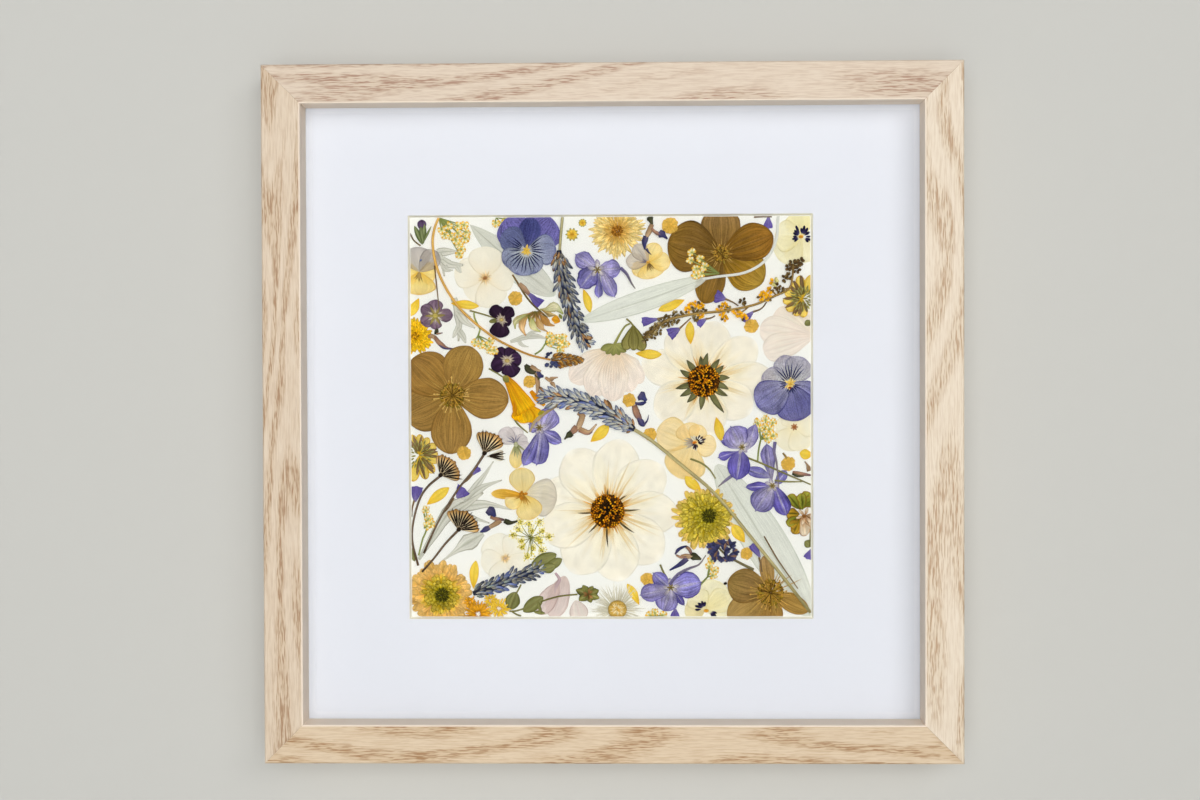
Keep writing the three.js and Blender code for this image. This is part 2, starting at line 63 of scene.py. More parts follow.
SHEET_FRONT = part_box("mount_sheet")[0][1]
FRAME_MIDDLE = 0.5 * (Vector(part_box("glazing")[0]) + Vector(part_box("glazing")[1]))
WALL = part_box("rail_bottom")[1][1]
WINDOW_OFF_X = -1.0  # mm, window's centre from the frame's centre
WINDOW_OFF_Z = -1.8
WINDOW = 191.0  # mm, side of the window at the sheet
TRIM = 0.3  # mm, specimens are trimmed this far inside the window
REACH = WINDOW / 2 - TRIM
FIRST_LAYER = 0.04  # mm, sheet to the lowest specimens
LAYER = 0.35  # mm, from one layer of specimens to the next


# ---- Colours -------------------------------------------------------------------------------------


def linear(code):
    """A colour written as rrggbb, in linear light."""
    value = np.array([int(code[i:i + 2], 16) for i in (0, 2, 4)]) / 255
    return np.where(value <= 0.04045, value / 12.92, ((value + 0.055) / 1.055) ** 2.4)


def rgba(code):
    """The same colour as a socket takes it."""
    return (*linear(code), 1.0)


CLOUD_CELLS = 64  # the noise repeats after so many cells


def cloud(x, y, seed):
    """Smooth noise from -1 to 1 over a plane."""
    n = CLOUD_CELLS
    table = np.random.default_rng(seed).uniform(-1, 1, (n, n))
    x = np.asarray(x, float) + 8 * n
    y = np.asarray(y, float) + 8 * n
    i = np.floor(x).astype(int)
    j = np.floor(y).astype(int)
    u = x - i
    v = y - j
    u = u * u * (3 - 2 * u)
    v = v * v * (3 - 2 * v)
    low = table[i % n, j % n] * (1 - u) + table[(i + 1) % n, j % n] * u
    high = table[i % n, (j + 1) % n] * (1 - u) + table[(i + 1) % n, (j + 1) % n] * u
    return low * (1 - v) + high * v


TIP_FROM = 0.93  # share of the length where the rim's colour runs round the tip
TIP_LENGTH = 0.07
RAY_START = 0.06  # share of the length over which a ray grows in
RAY_END = 0.18  # and over which it fades out
RAY_SHORTER = 0.35  # how much shorter the rays are at the rim


@dataclass(frozen=True)
class Dye:
    """How a petal, leaf or stem is coloured, from its foot to its tip and from its middle to its rim."""

    along: str  # colours from foot to tip
    rim: str = ""
    rim_from: float = 0.6  # share of the half width where the rim's colour begins
    rib: str = ""
    rib_to: float = 0.1
    rays: str = ""
    ray_count: int = 7
    ray_from: float = 0.0
    ray_to: float = 0.6
    ray_depth: float = 0.8
    fibre: float = 0.3  # contrast of the lengthwise fibres
    mottle: float = 0.06  # contrast of the soft patches
    sheer: float = 0.35  # how far what lies beneath shows through
    stray: float = 0.05  # how far one scrap's tone strays from the next

    def paint(self, t, s, random):
        """Colours of a grid of places at shares t of the length and s of the half width."""
        stops = np.array([linear(code) for code in self.along.split()])
        share = t * (len(stops) - 1)
        low = np.minimum(share.astype(int), max(len(stops) - 2, 0))
        high = np.minimum(low + 1, len(stops) - 1)
        mix = (share - low)[..., None]
        colour = stops[low] * (1 - mix) + stops[high] * mix
        edge = np.abs(s)
        if self.rim:
            mask = np.clip((edge - self.rim_from) / (1 - self.rim_from), 0, 1)
            mask = np.maximum(mask, np.clip((t - TIP_FROM) / TIP_LENGTH, 0, 1))[..., None]
            colour = colour * (1 - mask) + linear(self.rim) * mask
        if self.rib:
            mask = np.clip(1.5 - edge / self.rib_to, 0, 1)[..., None] * np.clip(3 - 3 * t, 0, 1)[..., None]
            colour = colour * (1 - mask) + linear(self.rib) * mask
        if self.rays:
            line = (0.5 + 0.5 * np.cos(math.pi * self.ray_count * s)) ** 3
            reach = self.ray_to * (1 - RAY_SHORTER * edge)
            fade = np.clip((t - self.ray_from) / RAY_START, 0, 1) * np.clip((reach - t) / RAY_END, 0, 1)
            mask = (self.ray_depth * line * fade)[..., None]
            colour = colour * (1 - mask) + linear(self.rays) * mask
        return colour * (1 + self.stray * random.uniform(-1, 1))


def solid(along, **more):
    """A dye that lets nothing beneath it show through."""
    return Dye(along, sheer=0, **more)


# ---- Shapes in the plane of the sheet, in mm -----------------------------------------------------


def smooth_line(points, t):
    """Places and directions at shares t of the way along a smooth line through points."""
    p = np.asarray(points, float)
    q = np.vstack([2 * p[0] - p[1], p, 2 * p[-1] - p[-2]])
    u = t * (len(p) - 1)
    i = np.minimum(u.astype(int), len(p) - 2)
    f = (u - i)[:, None]
    a, b, c, d = q[i], q[i + 1], q[i + 2], q[i + 3]
    at = b + 0.5 * ((c - a) * f + (2 * a - 5 * b + 4 * c - d) * f**2 + (3 * b - a - 3 * c + d) * f**3)
    way = (c - a) + 2 * (2 * a - 5 * b + 4 * c - d) * f + 3 * (3 * b - a - 3 * c + d) * f**2
    return at, way / np.linalg.norm(way, axis=1, keepdims=True)


def turned(x, z, turn):
    """A place turned round the origin by degrees."""
    c = math.cos(math.radians(turn))
    s = math.sin(math.radians(turn))
    return x * c - z * s, x * s + z * c


def spiral(radius, count):
    """Number, turn and place of seeds spread evenly over a disc."""
    for k in range(count):
        turn = k * SEED_TURN
        yield (k, turn, *turned(radius * math.sqrt(k / count), 0, turn))


def petal_half(width, widest=0.62, blunt=0.55):
    """Half width of a petal along its length: blunt 1 is pointed, 0.4 nearly square."""
    skew = math.log(0.5) / math.log(widest)
    return lambda t: (width / 2) * np.sin(np.pi * np.clip(t, 0.004, 0.996) ** skew) ** blunt


def taper(*widths):
    """Half width that runs through the given widths at even steps."""
    stops = np.linspace(0, 1, len(widths))
    return lambda t: 0.5 * np.interp(t, stops, widths)


def strip_faces(rows, columns):
    """Faces of a strip: the quads of its upper face, then its sides, its underside and its ends."""
    wide = columns + 1
    n = (rows + 1) * wide
    upper = []
    for i in range(rows):
        for j in range(columns):
            k = i * wide + j
            upper.append([k, k + wide, k + wide + 1, k + 1])
    above_left = [i * wide + columns for i in range(rows + 1)]
    above_right = [i * wide for i in range(rows + 1)]
    below_left = [n + i for i in range(rows + 1)]
    below_right = [n + rows + 1 + i for i in range(rows + 1)]
    closing = []
    for i in range(rows):
        closing.append([above_left[i], above_left[i + 1], below_left[i + 1], below_left[i]])
        closing.append([above_right[i + 1], above_right[i], below_right[i], below_right[i + 1]])
        closing.append([below_left[i], below_left[i + 1], below_right[i + 1], below_right[i]])
    closing.append([*range(wide), below_left[0], below_right[0]])
    closing.append([*reversed(range(rows * wide, (rows + 1) * wide)), below_right[rows], below_left[rows]])
    return upper, closing


SHOWING = []  # outlines laid so far: (outline, height, colour)
SHOWING_WIDTH = 0.8  # mm, half width from which a scrap is seen through what lies on it
SHOWING_STEPS = 12  # places along each side of such an outline, about
LAID = []  # finished specimens
SEED_STRIDE = 7919  # a prime that keeps the seeds of the pieces apart
SEED_TURN = 137.5  # degrees from one seed to the next in a spiral
RIPPLES = 4  # waves of noise along each side of a strip
SMALL_RIPPLES = 11
RIPPLE_ROWS = (3.3, 9.7)  # rows of the noise that the left and the right side read
NOTCH_WIDTH = 0.28  # share of the half width that the notch in a petal's tip takes
FOLD_LENGTH = 5  # mm, creases along a petal
FOLD_WIDTH = 1.6
BROAD_PATCH = 3.2  # mm, soft patches of tone
SMALL_PATCH = 1.3
GRAINS = 97  # different runs of veins
GRAIN_STEP = 3.1


class Pressed:
    """One specimen: petals, stems and buds laid one over another and gathered into one mesh."""

    def __init__(self, name, at=(0, 0), layer=0.0, seed=1):
        self.name = name
        self.at = np.array(at, float)
        self.height = FIRST_LAYER + LAYER * layer
        self.random = np.random.default_rng(seed * SEED_STRIDE + len(name))
        self.places = []
        self.tint = []
        self.grain = []
        self.notes = []  # fibre, sheer and height of each vertex
        self.faces = []
        self.flat = []
        self.count = 0

    def _gather(self, places, heights, tint, grain, dye, base, smooth, flat):
        """Adds a petal or bud: its vertices, its smooth faces and its flat ones."""
        n = len(places)
        self.places.append(np.column_stack([places[:, 0], heights, places[:, 1]]))
        self.tint.append(tint)
        self.grain.append(grain)
        self.notes.append(np.tile([dye.fibre, dye.sheer, base], (n, 1)))
        self.faces.extend([[v + self.count for v in face] for face in smooth + flat])
        self.flat.extend([False] * len(smooth) + [True] * len(flat))
        self.count += n

    def strip(self, line, half, dye, rows=10, columns=4, thick=0.1, arch=0.0, step=0.02, ripple=0.0,
              notch=0.0, crease=0.0):
        """A petal, leaf or stem along a line of places, closed below."""
        base = self.height
        self.height += step
        line = np.asarray(line, float) + self.at
        t = 0.5 - 0.5 * np.cos(np.pi * np.linspace(0, 1, rows + 1))
        if not callable(half):
            half = taper(half, half)
        width = half(t)
        seed = int(self.random.integers(1 << 30))
        if ripple:
            ripples = np.stack([
                cloud(RIPPLES * t, np.full_like(t, row), seed)
                + 0.5 * cloud(SMALL_RIPPLES * t, np.full_like(t, row), seed + 4)
                for row in RIPPLE_ROWS
            ])
            sides = 1 + ripple * ripples
        else:
            sides = np.ones((2, rows + 1))
        s = np.sin(0.5 * np.pi * np.linspace(-1, 1, columns + 1)) if arch else np.linspace(-1, 1, columns + 1)
        at, way = smooth_line(line, t)
        left = np.column_stack([-way[:, 1], way[:, 0]])
        reach = width[:, None] * s * np.where(s > 0, sides[0][:, None], sides[1][:, None])
        places = at[:, None] + left[:, None] * reach[..., None]
        if notch:
            dip = notch * np.exp(-(s / NOTCH_WIDTH) ** 2) * (t[:, None] ** 6)
            places = places - way[:, None] * dip[..., None]
        length = np.linalg.norm(np.diff(at, axis=0), axis=1).sum()
        tt = np.broadcast_to(t[:, None], reach.shape)
        ss = np.broadcast_to(s, reach.shape)
        heights = base + thick + arch * np.sqrt(1 - ss**2)
        if crease:
            folds = cloud(tt * length / FOLD_LENGTH, reach / FOLD_WIDTH, seed + 1)
            heights = heights + crease * folds * (1 - ss**4)
        x, z = places[..., 0], places[..., 1]
        patches = cloud(x / BROAD_PATCH, z / BROAD_PATCH, seed + 2)
        patches = patches + 0.6 * cloud(x / SMALL_PATCH, z / SMALL_PATCH, seed + 3)
        painted = dye.paint(tt, ss, self.random) * (1 + dye.mottle * patches)[..., None]
        tint = painted.reshape(-1, 3)
        rims = np.concatenate([places[:, -1], places[:, 0]])
        rim_tint = np.concatenate([painted[:, -1], painted[:, 0]])
        veins = ss * width.max()
        grain = np.stack([tt * length, veins, np.full_like(reach, (seed % GRAINS) * GRAIN_STEP)], axis=-1)
        upper, closing = strip_faces(rows, columns)
        self._gather(
            np.concatenate([places.reshape(-1, 2), rims]),
            np.concatenate([heights.reshape(-1), np.full(len(rims), base)]),
            np.concatenate([tint, rim_tint]),
            np.concatenate([grain.reshape(-1, 3), np.column_stack([rims, np.zeros(len(rims))])]),
            dye, base, upper, closing,
        )
        if width.max() > SHOWING_WIDTH:
            keep = slice(None, None, max(1, rows // SHOWING_STEPS))
            outline = np.concatenate([places[keep, -1], places[keep, 0][::-1]])
            SHOWING.append((outline, base, tint.mean(axis=0)))

    def petal(self, turn, length, width, dx=0, dz=0, widest=0.62, blunt=0.55, *, dye, bend=0.0, **more):
        """A petal from its foot at dx, dz, turned by degrees, its tip bent aside by bend mm."""
        middle = turned(length * 0.5, 0.0, turn)
        tip = turned(length, bend, turn)
        line = [(dx, dz), (dx + middle[0], dz + middle[1]), (dx + tip[0], dz + tip[1])]
        self.strip(line, petal_half(width, widest, blunt), dye, **more)

    def bud(self, x, z, rx, rz=None, turn=0, high=0.4, dye=None, sides=8, rings=2, raised=0.0):
        """A small domed lump."""
        rz = rx if rz is None else rz
        base = self.height + raised
        around = 2 * np.pi * np.arange(sides) / sides
        places = [np.zeros((1, 2))]
        heights = [np.array([high])]
        for ring in range(1, rings + 1):
            angle = 0.5 * np.pi * ring / rings
            places.append(np.column_stack([np.cos(around), np.sin(around)]) * math.sin(angle))
            heights.append(np.full(sides, high * math.cos(angle)))
        unit = np.concatenate(places)
        u, v = turned(unit[:, 0] * rx, unit[:, 1] * rz, turn)
        spots = np.column_stack([u + x, v + z]) + self.at
        faces = [[0, 1 + k, 1 + (k + 1) % sides] for k in range(sides)]
        for ring in range(1, rings):
            a = 1 + (ring - 1) * sides
            b = a + sides
            faces += [[a + k, b + k, b + (k + 1) % sides, a + (k + 1) % sides] for k in range(sides)]
        last = 1 + (rings - 1) * sides
        under = [[last + k for k in reversed(range(sides))]]
        distance = np.hypot(unit[:, 0], unit[:, 1])
        tint = dye.paint(distance, np.zeros_like(distance), self.random)
        grain = np.column_stack([spots, np.full(len(spots), self.draw(0, 90))])
        self._gather(spots, base + np.concatenate(heights), tint, grain, dye, base, faces, under)

    def draw(self, low=0.0, high=1.0):
        """A random value of this specimen's own."""
        return self.random.uniform(low, high)

    def ring(self, count, stray):
        """Turns spread evenly round a flower, each off by up to stray degrees."""
        for k in range(count):
            yield 360 * k / count + self.draw(-stray, stray)

    def finish(self, slot, *nodes):
        """Makes the mesh, trims it at the window's edge and puts it in place of its CAD nodes."""
        places = np.concatenate(self.places)
        mesh = bpy.data.meshes.new(self.name)
        spots = np.column_stack([
            FRAME_MIDDLE.x + (WINDOW_OFF_X + places[:, 0]) * MM,
            SHEET_FRONT - places[:, 1] * MM,
            FRAME_MIDDLE.z + (WINDOW_OFF_Z + places[:, 2]) * MM,
        ])
        mesh.from_pydata(spots.tolist(), [], self.faces)
        mesh.polygons.foreach_set("use_smooth", [not flat for flat in self.flat])
        colours = np.concatenate(self.tint)
        store(mesh, "tint", np.column_stack([colours, np.ones(len(colours))]))
        store(mesh, "under", np.ones((len(colours), 4)))
        grain = mesh.attributes.new("grain", "FLOAT_VECTOR", "POINT")
        grain.data.foreach_set("vector", np.concatenate(self.grain).astype(np.float32).ravel())
        notes = np.concatenate(self.notes)
        for column, name in enumerate(("fibre", "sheer", "height")):
            layer = mesh.attributes.new(name, "FLOAT", "POINT")
            layer.data.foreach_set("value", notes[:, column].astype(np.float32))
        if np.abs(places[:, [0, 2]]).max() > REACH:
            trim(mesh)
        mesh.materials.append(pressed_material(slot))
        piece = bpy.data.objects.new(self.name, mesh)
        bpy.context.scene.collection.objects.link(piece)
        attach(piece, "root")
        if nodes:
            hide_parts(*nodes)
        LAID.append(piece)


def store(mesh, name, colours):
    """Writes a colour for each vertex."""
    layer = mesh.attributes.get(name) or mesh.attributes.new(name, "FLOAT_COLOR", "POINT")
    layer.data.foreach_set("color", np.asarray(colours, np.float32).ravel())


def trim(mesh):
    """Cuts a specimen off at the window's edge and closes the cut."""
    body = bmesh.new()
    body.from_mesh(mesh)
    middle = Vector((FRAME_MIDDLE.x + WINDOW_OFF_X * MM, 0, FRAME_MIDDLE.z + WINDOW_OFF_Z * MM))
    for way in (Vector((1, 0, 0)), Vector((-1, 0, 0)), Vector((0, 0, 1)), Vector((0, 0, -1))):
        cut = bmesh.ops.bisect_plane(
            body, geom=[*body.verts, *body.edges, *body.faces], dist=1e-7,
            plane_co=middle + way * REACH * MM, plane_no=way, clear_outer=True,
        )
        edges = [item for item in cut["geom_cut"] if isinstance(item, bmesh.types.BMEdge)]
        if edges:
            bmesh.ops.holes_fill(body, edges=edges, sides=0)
    body.to_mesh(mesh)
    body.free()


# ---- Shader graphs -------------------------------------------------------------------------------


class Wire:
    """A node's socket that takes part in arithmetic."""

    def __init__(self, graph, socket):
        self.graph = graph
        self.socket = socket

    def _math(self, operation, a, b):
        return self.graph.node("ShaderNodeMath", {"operation": operation}, {0: a, 1: b})

    def __add__(self, other):
        return self._math("ADD", self, other)

    __radd__ = __add__

    def __sub__(self, other):
        return self._math("SUBTRACT", self, other)

    def __rsub__(self, other):
        return self._math("SUBTRACT", other, self)

    def __mul__(self, other):
        return self._math("MULTIPLY", self, other)

    __rmul__ = __mul__

    def __gt__(self, other):
        return self._math("GREATER_THAN", self, other)


class Graph:
    """The node tree of one material."""

    def __init__(self, name):
        self.material = bpy.data.materials.new(name)
        self.material.use_nodes = True
        self.nodes = self.material.node_tree.nodes
        self.links = self.material.node_tree.links
        self.nodes.clear()

    def node(self, kind, settings=None, inputs=None, out=0):
        """Adds a node with its settings and the values or wires of its sockets."""
        made = self.nodes.new(kind)
        for name, value in (settings or {}).items():
            if name == "stops":
                ramp = made.color_ramp.elements
                while len(ramp) < len(value):
                    ramp.new(0.5)
                for stop, (place, colour) in zip(ramp, value):
                    stop.position = place
                    stop.color = colour
            else:
                setattr(made, name, value)
        for name, value in (inputs or {}).items():
            if isinstance(value, Wire):
                self.links.new(value.socket, made.inputs[name])
            elif value is not None:
                made.inputs[name].default_value = value
        return Wire(self, made.outputs[out]) if made.outputs else None

    def attribute(self, name, out):
        """What each vertex holds under a name."""
        return self.node("ShaderNodeAttribute", {"attribute_name": name}, out=out)

    def stretched(self, vector, scale):
        """Places scaled along each axis, so that noise read there runs lengthwise."""
        return self.node("ShaderNodeVectorMath", {"operation": "MULTIPLY"}, {0: vector, 1: scale})

    def noise(self, vector, scale, detail=2.0, roughness=0.5, distortion=0.0):
        return self.node("ShaderNodeTexNoise", {}, {
            "Vector": vector, "Scale": scale, "Detail": detail, "Roughness": roughness,
            "Distortion": distortion,
        }, out="Fac")

    def between(self, factor, low, high):
        """A colour between two, nearer to the second as the factor nears 1."""
        return self.node("ShaderNodeMix", {"data_type": "RGBA"}, {0: factor, 6: low, 7: high}, out=2)

    def times(self, colour, other):
        """One colour multiplied by another."""
        return self.node("ShaderNodeMix", {"data_type": "RGBA", "blend_type": "MULTIPLY"},
                         {0: 1.0, 6: colour, 7: other}, out=2)

    def scaled(self, colour, factor):
        """A colour made lighter or darker by a factor."""
        return self.node("ShaderNodeVectorMath", {"operation": "SCALE"}, {0: colour, "Scale": factor})

    def ramp(self, factor, *stops):
        """A colour that runs through stops, each a place from 0 to 1 and its colour."""
        return self.node("ShaderNodeValToRGB", {"stops": stops}, {"Fac": factor})

    def narrowed(self, value, low, high, to_low=0.0, to_high=1.0):
        """What lies between low and high, spread over to_low to to_high."""
        return self.node("ShaderNodeMapRange", {"clamp": True}, {
            "Value": value, "From Min": low, "From Max": high, "To Min": to_low, "To Max": to_high,
        })

    def bump(self, height, distance, strength=1.0):
        return self.node("ShaderNodeBump", {}, {"Height": height, "Distance": distance, "Strength": strength})

    def surface(self, inputs):
        """Ends the tree in a surface and gives the finished material."""
        shader = self.node("ShaderNodeBsdfPrincipled", {}, inputs)
        self.node("ShaderNodeOutputMaterial", {}, {"Surface": shader})
        return self.material


def position(graph):
    """Places in the piece's own frame, in metres."""
    return graph.node("ShaderNodeTexCoord", out="Object")


ROUGHNESS = {"cosmos": 0.72, "bell": 0.6, "seed_head": 0.7, "ochre_stem": 0.65, "lavender": 0.8}
SPECKLE = {"pansy_blue": 0.6, "hellebore": 0.25, "larkspur": 0.42, "silver_leaf": 0.07, "pansy_pale": 0.05,
           "viola_pale": 0.06, "cosmos": 0.02, "blossom": 0.03, "bell": 0.05, "viola_dark": 0.3}
VEINED = {"hellebore": 2.3, "larkspur": 1.7, "silver_leaf": 1.6, "pansy_blue": 1.4, "bell": 1.3}
made_materials = {}


def pressed_material(slot):
    """Dry petal or leaf: its own dye, what shows through from beneath, fibres and a mottled bloom."""
    if slot in made_materials:
        return made_materials[slot]
    g = Graph("pressed_" + slot)
    fibre = g.attribute("fibre", "Fac")
    grain = g.attribute("grain", "Vector")
    streaks = g.narrowed(g.noise(g.stretched(grain, (0.06, VEINED.get(slot, 1.0), 1.0)), 1.0, 1.0, 0.5),
                         0.32, 0.68) - 0.5
    veins = g.narrowed(g.noise(g.stretched(grain, (0.10, 0.42, 1.0)), 1.0, 2.0, 0.6), 0.3, 0.7) - 0.5
    bloom = g.narrowed(g.noise(position(g), 900.0, 3.0, 0.7), 0.3, 0.7) - 0.5
    specks = g.narrowed(g.noise(position(g), 1900.0, 2.0, 0.6), 0.32, 0.68) - 0.5
    tone = 1.0 + (streaks * 1.3 + veins * 0.6 + bloom * 0.5) * fibre + specks * SPECKLE.get(slot, 0.12)
    colour = g.scaled(g.times(g.attribute("tint", "Color"), g.attribute("under", "Color")), tone)
    made_materials[slot] = g.surface({
        "Base Color": colour,
        "Roughness": ROUGHNESS.get(slot, 0.78),
        "Specular IOR Level": 0.12,
        "Normal": g.bump((streaks + veins) * fibre + bloom * 0.2 + specks * 0.1, 0.00012, 0.6),
    })
    return made_materials[slot]


INNER_FACE_PAINTED_LIGHT = "fdeedd"  # painted light: near-white laid over the rails' inner faces, standing in for the light that the mat throws back


def oak_material(name, upright, inward, shift, pale, deep, pore):
    """Oak with its grain along the rail: broad growth rings, short dark pores and fine fibres; its inner
    faces carry painted light from the mat.
    """
    g = Graph(name)
    place = g.node("ShaderNodeVectorMath", {"operation": "ADD"}, {0: position(g), 1: shift})
    if upright:
        place = g.node("ShaderNodeMapping", {}, {"Vector": place, "Rotation": (0, math.pi / 2, 0)})
    broad = g.noise(g.stretched(place, (4.0, 26.0, 26.0)), 1.0, 1.0, 0.4, 0.35)
    rings = g.node("ShaderNodeMath", {"operation": "SINE"}, {0: broad * 60.0}) * 0.5 + 0.5
    band = g.narrowed(rings, 0.2, 0.85)
    fine = g.noise(g.stretched(place, (200.0, 2300.0, 2300.0)), 1.0, 1.0, 0.5)
    fibres = g.noise(g.stretched(place, (70.0, 1500.0, 1500.0)), 1.0, 2.0, 0.6)
    pores = g.narrowed(fine * 0.55 + fibres * 0.45, 0.47, 0.59) * (band * 0.8 + 0.2)
    patches = g.noise(g.stretched(place, (9.0, 28.0, 28.0)), 1.0, 2.0)
    wood = g.between(band * 0.35 + g.narrowed(fibres, 0.35, 0.65) * 0.35, rgba(pale), rgba(deep))
    wood = g.between(pores * 0.9, wood, rgba(pore))
    wood = g.scaled(wood, 0.97 + patches * 0.06)
    axis, side = inward
    facing = g.node("ShaderNodeSeparateXYZ", {}, {0: g.node("ShaderNodeNewGeometry", out="True Normal")},
                    out=axis)
    # painted light: faces that look into the window are mixed towards near-white, as if lit by the mat
    wood = g.between((facing * side > 0.5) * 0.9, wood, rgba(INNER_FACE_PAINTED_LIGHT))
    return g.surface({
        "Base Color": wood,
        "Roughness": g.narrowed(fibres, 0.2, 0.8, 0.42, 0.56),
        "Specular IOR Level": 0.4,
        "Normal": g.bump(fibres * 0.5 - pores * 0.8, 0.00015, 0.5),
    })


def mat_material(board, core):
    """Mat board with a fine tooth; its cut bevel shows the core."""
    g = Graph("mat_board")
    normal = g.node("ShaderNodeNewGeometry", out="True Normal")
    facing = g.node("ShaderNodeSeparateXYZ", {}, {0: normal}, out="Y")
    bevel = facing > -0.97
    tooth = g.noise(position(g), 2600.0, 3.0, 0.6)
    colour = g.between(bevel, rgba(board), rgba(core))
    return g.surface({
        "Base Color": g.scaled(colour, 0.985 + tooth * 0.03),
        "Roughness": 0.9,
        "Specular IOR Level": 0.2,
        "Normal": g.bump(tooth, 0.00004, 0.5),
    })


def sheet_material(paper):
    """Soft paper with a felted tooth."""
    g = Graph("mount_paper")
    felt = g.noise(position(g), 900.0, 4.0, 0.65)
    fine = g.noise(position(g), 3500.0, 2.0)
    return g.surface({
        "Base Color": g.scaled(rgba(paper)[:3], 0.96 + felt * 0.05 + fine * 0.03),
        "Roughness": 0.92,
        "Specular IOR Level": 0.15,
        "Normal": g.bump(felt * 0.6 + fine * 0.4, 0.00006, 0.5),
    })


def board_material():
    """Brown fibreboard with pressed flecks."""
    g = Graph("fibreboard")
    flecks = g.noise(position(g), 700.0, 5.0, 0.75)
    cloudy = g.noise(position(g), 30.0, 2.0)
    colour = g.ramp(flecks * 0.8 + cloudy * 0.2, (0.3, rgba("6b4a2c")), (0.5, rgba("94704a")),
                    (0.72, rgba("b39067")))
    return g.surface({"Base Color": colour, "Roughness": 0.8, "Normal": g.bump(flecks, 0.0001, 0.4)})


def zinc_material():
    """Dull zinc plate with light brushing."""
    g = Graph("zinc_plate")
    brushing = g.noise(g.stretched(position(g), (200.0, 3000.0, 3000.0)), 1.0, 2.0)
    spots = g.noise(position(g), 500.0, 2.0)
    return g.surface({
        "Base Color": g.between(spots, rgba("9b9b98"), rgba("c6c6c2")),
        "Metallic": 1.0,
        "Roughness": g.narrowed(brushing + spots * 0.3, 0.3, 0.9, 0.3, 0.5),
        "Normal": g.bump(brushing, 0.00002, 0.5),
    })


def glass_material():
    """Clear float glass."""
    return Graph("clear_glass").surface({
        "Base Color": rgba("fbfdfc"), "Roughness": 0.0, "IOR": 1.45, "Transmission Weight": 1.0,
    })


def dress(node, material, bevel=0.0):
    """Gives a CAD node its finish and, where asked, softened edges."""
    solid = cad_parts[node]
    for slot in solid.material_slots:
        slot.material = material
    if bevel:
        soft = solid.modifiers.new("softened_edges", "BEVEL")
        soft.width = bevel * MM
        soft.segments = 2
        soft.limit_method = "ANGLE"
        soft.angle_limit = math.radians(30)


# ---- Settings ------------------------------------------------------------------------------------


class PictureSettings(bpy.types.PropertyGroup):
    """What can be set: the cosmos discs, the softened edges and the lamps."""

    disc_florets: IntProperty(
        name="Disc florets", description="Florets in the middle of each cosmos", default=190, min=40, max=400,
    )
    softening: FloatProperty(
        name="Softened edges", description="Rounding of the rails' edges, in millimetres",
        default=0.22, min=0.05, max=0.5,
    )
    front_power: FloatProperty(
        name="Front light", description="Power of the wide soft light in front", unit="POWER", default=22.1,
        min=0,
    )
    key_power: FloatProperty(
        name="Main light", description="Power of the soft light from the upper right", unit="POWER",
        default=8.1,
        min=0,
    )
    fill_power: FloatProperty(
        name="Fill light", description="Power of the soft light from the left", unit="POWER", default=5.2,
        min=0,
    )
    room_light: FloatProperty(
        name="Room light", description="Strength of the light from all round", default=0.12, min=0,
    )


# ---- The frame's own pieces ----------------------------------------------------------------------


class PICTURE_OT_oak_rails(bpy.types.Operator):
    """Give the four rails oak with its grain along each rail"""

    bl_idname = "picture.oak_rails"
    bl_label = "Finish the oak rails"

    def execute(self, context):
        soft = context.scene.pressed_picture.softening
        rails = (
            ("rail_top", False, ("Z", -1), (0.31, 0.0, 0.1), "d7c8b6", "c3ae98", "a07d69"),
            ("rail_right", True, ("X", -1), (0.0, 0.11, 0.47), "e2d5c3", "cfbda2", "b09073"),
            ("rail_bottom", False, ("Z", 1), (1.37, 0.2, 0.2), "d8c5ab", "c1a581", "9e7853"),
            ("rail_left", True, ("X", 1), (0.2, 0.37, 0.93), "d7c7b3", "c0a788", "9e7c5e"),
        )
        for node, upright, inward, shift, pale, deep, pore in rails:
            dress(node, oak_material("oak_" + node, upright, inward, shift, pale, deep, pore), soft)
        return {"FINISHED"}


class PICTURE_OT_boards_and_glass(bpy.types.Operator):
    """Finish the glass, the mat, the sheet, the back board and its fixings"""

    bl_idname = "picture.boards_and_glass"
    bl_label = "Finish the boards and glass"

    def execute(self, context):
        dress("glazing", glass_material())
        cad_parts["glazing"].visible_shadow = False
        dress("window_mat", mat_material("edeef7", "f1eddf"))
        dress("mount_sheet", sheet_material("faf9f4"))
        dress("back_board", board_material())
        zinc = zinc_material()
        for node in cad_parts:
            if node.startswith("tab_"):
                dress(node, zinc, 0.12)
        dress("sawtooth_hanger", zinc, 0.12)
        return {"FINISHED"}


# ---- Large flowers -------------------------------------------------------------------------------

BROWN = Dye("8c6a30 9c773b a27e43", rim="84602a", rim_from=0.93, rays="c4a058", ray_count=6, ray_to=0.95,
            ray_depth=0.2, fibre=0.42, sheer=0.18, stray=0.06)


def stamens(piece, radius, count, dye, spread=0.35, inner=1.0):
    """Thin filaments round a flower's heart, each with a small anther."""
    for k in range(count):
        turn = 360 * (k + piece.draw(-0.4, 0.4)) / count
        reach = radius * piece.draw(1 - spread, 1)
        a = turned(inner, 0, turn)
        b = turned(reach, piece.draw(-1.2, 1.2), turn)
        piece.strip([a, ((a[0] + b[0]) / 2, (a[1] + b[1]) / 2), b], taper(0.4, 0.3, 0.3), dye, rows=3,
                    columns=2, thick=0.12, arch=0.08, step=0.001)
        piece.bud(b[0], b[1], 0.6, 0.4, turn, 0.25, dye, sides=6)


